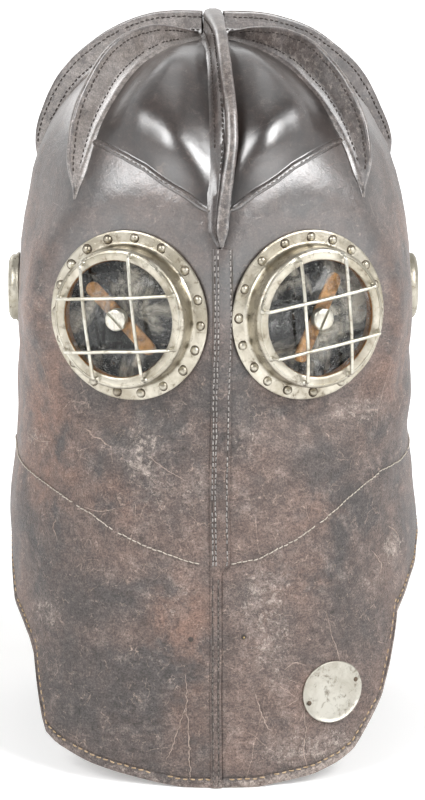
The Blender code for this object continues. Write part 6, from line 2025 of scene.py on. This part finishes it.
# The photograph, in its own pixels: size, the helmet's middle, and the scale
PHOTO_WIDTH, PHOTO_HEIGHT, MIDDLE_X, MIDDLE_Y, PIXELS_PER_METRE = 425, 800, 213, 359, 192 / 0.125
target = Vector((0, SHIFT, 0.240))
camera = linked("camera", bpy.data.cameras.new("camera"))
camera.location = target + DISTANCE * Vector((sin(AZIMUTH) * cos(ELEVATION),
                                              -cos(AZIMUTH) * cos(ELEVATION), sin(ELEVATION)))
aim(camera, target)
camera.data.sensor_fit = "VERTICAL"
camera.data.sensor_height = SENSOR
camera.data.lens = PIXELS_PER_METRE * DISTANCE * SENSOR / PHOTO_HEIGHT
camera.data.shift_x = -(MIDDLE_X - PHOTO_WIDTH / 2) / PHOTO_HEIGHT
camera.data.shift_y = (MIDDLE_Y - PHOTO_HEIGHT / 2) / PHOTO_HEIGHT
camera.data.clip_start = 0.01
bpy.context.scene.camera = camera

tree = Tree("backdrop")
paper = tree.mix(tree.ramp(tree.noise(3, 3, 0.5), 0.3, 0.7), (0.86, 0.86, 0.86), (0.88, 0.88, 0.88))
rays = tree.rays()
shown = tree.most(tree.most(rays["Is Camera Ray"], rays["Is Glossy Ray"]),
                  rays["Is Transmission Ray"])
away = tree.add("VectorMath", "Value", set_operation="LENGTH", i0=tree.place)
paleness = tree.times(tree.ramp(away, 0.35, 1.6, 0.30, 1.0), shown)
floor_material = tree.done(Base_Color=paper, Roughness=0.9, Emission_Color=(1, 1, 1),
                           Emission_Strength=paleness)
floor_mesh = bpy.data.meshes.new("floor")
floor_mesh.from_pydata([(-40, -40, 0), (40, -40, 0), (40, 40, 0), (-40, 40, 0)], [], [(0, 1, 2, 3)])
floor_mesh.materials.append(floor_material)
linked("floor", floor_mesh)


def lamp(name, place, width, height, power):
    data = bpy.data.lights.new(name, "AREA")
    data.shape, data.size, data.size_y, data.energy = "RECTANGLE", width, height, power
    item = linked(name, data)
    item.location = place
    aim(item, (0, 0, 0.25))


lamp("left_softbox", (-1.60, -1.50, 1.70), 1.3, 1.5, 47)
lamp("right_softbox", (1.60, -1.45, 1.70), 1.3, 1.5, 66)
lamp("top_lamp", (0.1, 0.5, 2.6), 1.1, 1.1, 4)
lamp("rim_lamp", (-1.3, 1.8, 1.7), 1.1, 1.1, 10)

# The white room shows whole behind the helmet; mirrored, it is dimmer in front and overhead
FRONT_ROOM, CEILING, SOFT_LIGHT, DARKEST = 0.24, 0.60, 0.34, 0.14
world = bpy.data.worlds.new("studio")
bpy.context.scene.world = world
sky = Tree("studio", world)
rays = sky.rays()
forward = sky.add("SeparateXYZ", "Y", Vector=sky.places["Generated"])
upward = sky.add("SeparateXYZ", "Z", Vector=sky.places["Generated"])
room = sky.ramp(forward, -0.45, 0.40, FRONT_ROOM - SOFT_LIGHT, 1.0 - SOFT_LIGHT)
overhead = sky.ramp(upward, 0.50, 0.95, 0.0, CEILING)
dimmed = sky.most(sky.sum(room, overhead, "SUBTRACT"), DARKEST - SOFT_LIGHT)
mirrored = sky.most(rays["Is Glossy Ray"], rays["Is Transmission Ray"])
strength = sky.most(sky.sum(sky.times(mirrored, dimmed), SOFT_LIGHT), rays["Is Camera Ray"])
background = sky.nodes["Background"].inputs
sky.put(background["Color"], (1, 1, 1))
sky.put(background["Strength"], strength)
bpy.context.scene.view_settings.view_transform = "Standard"
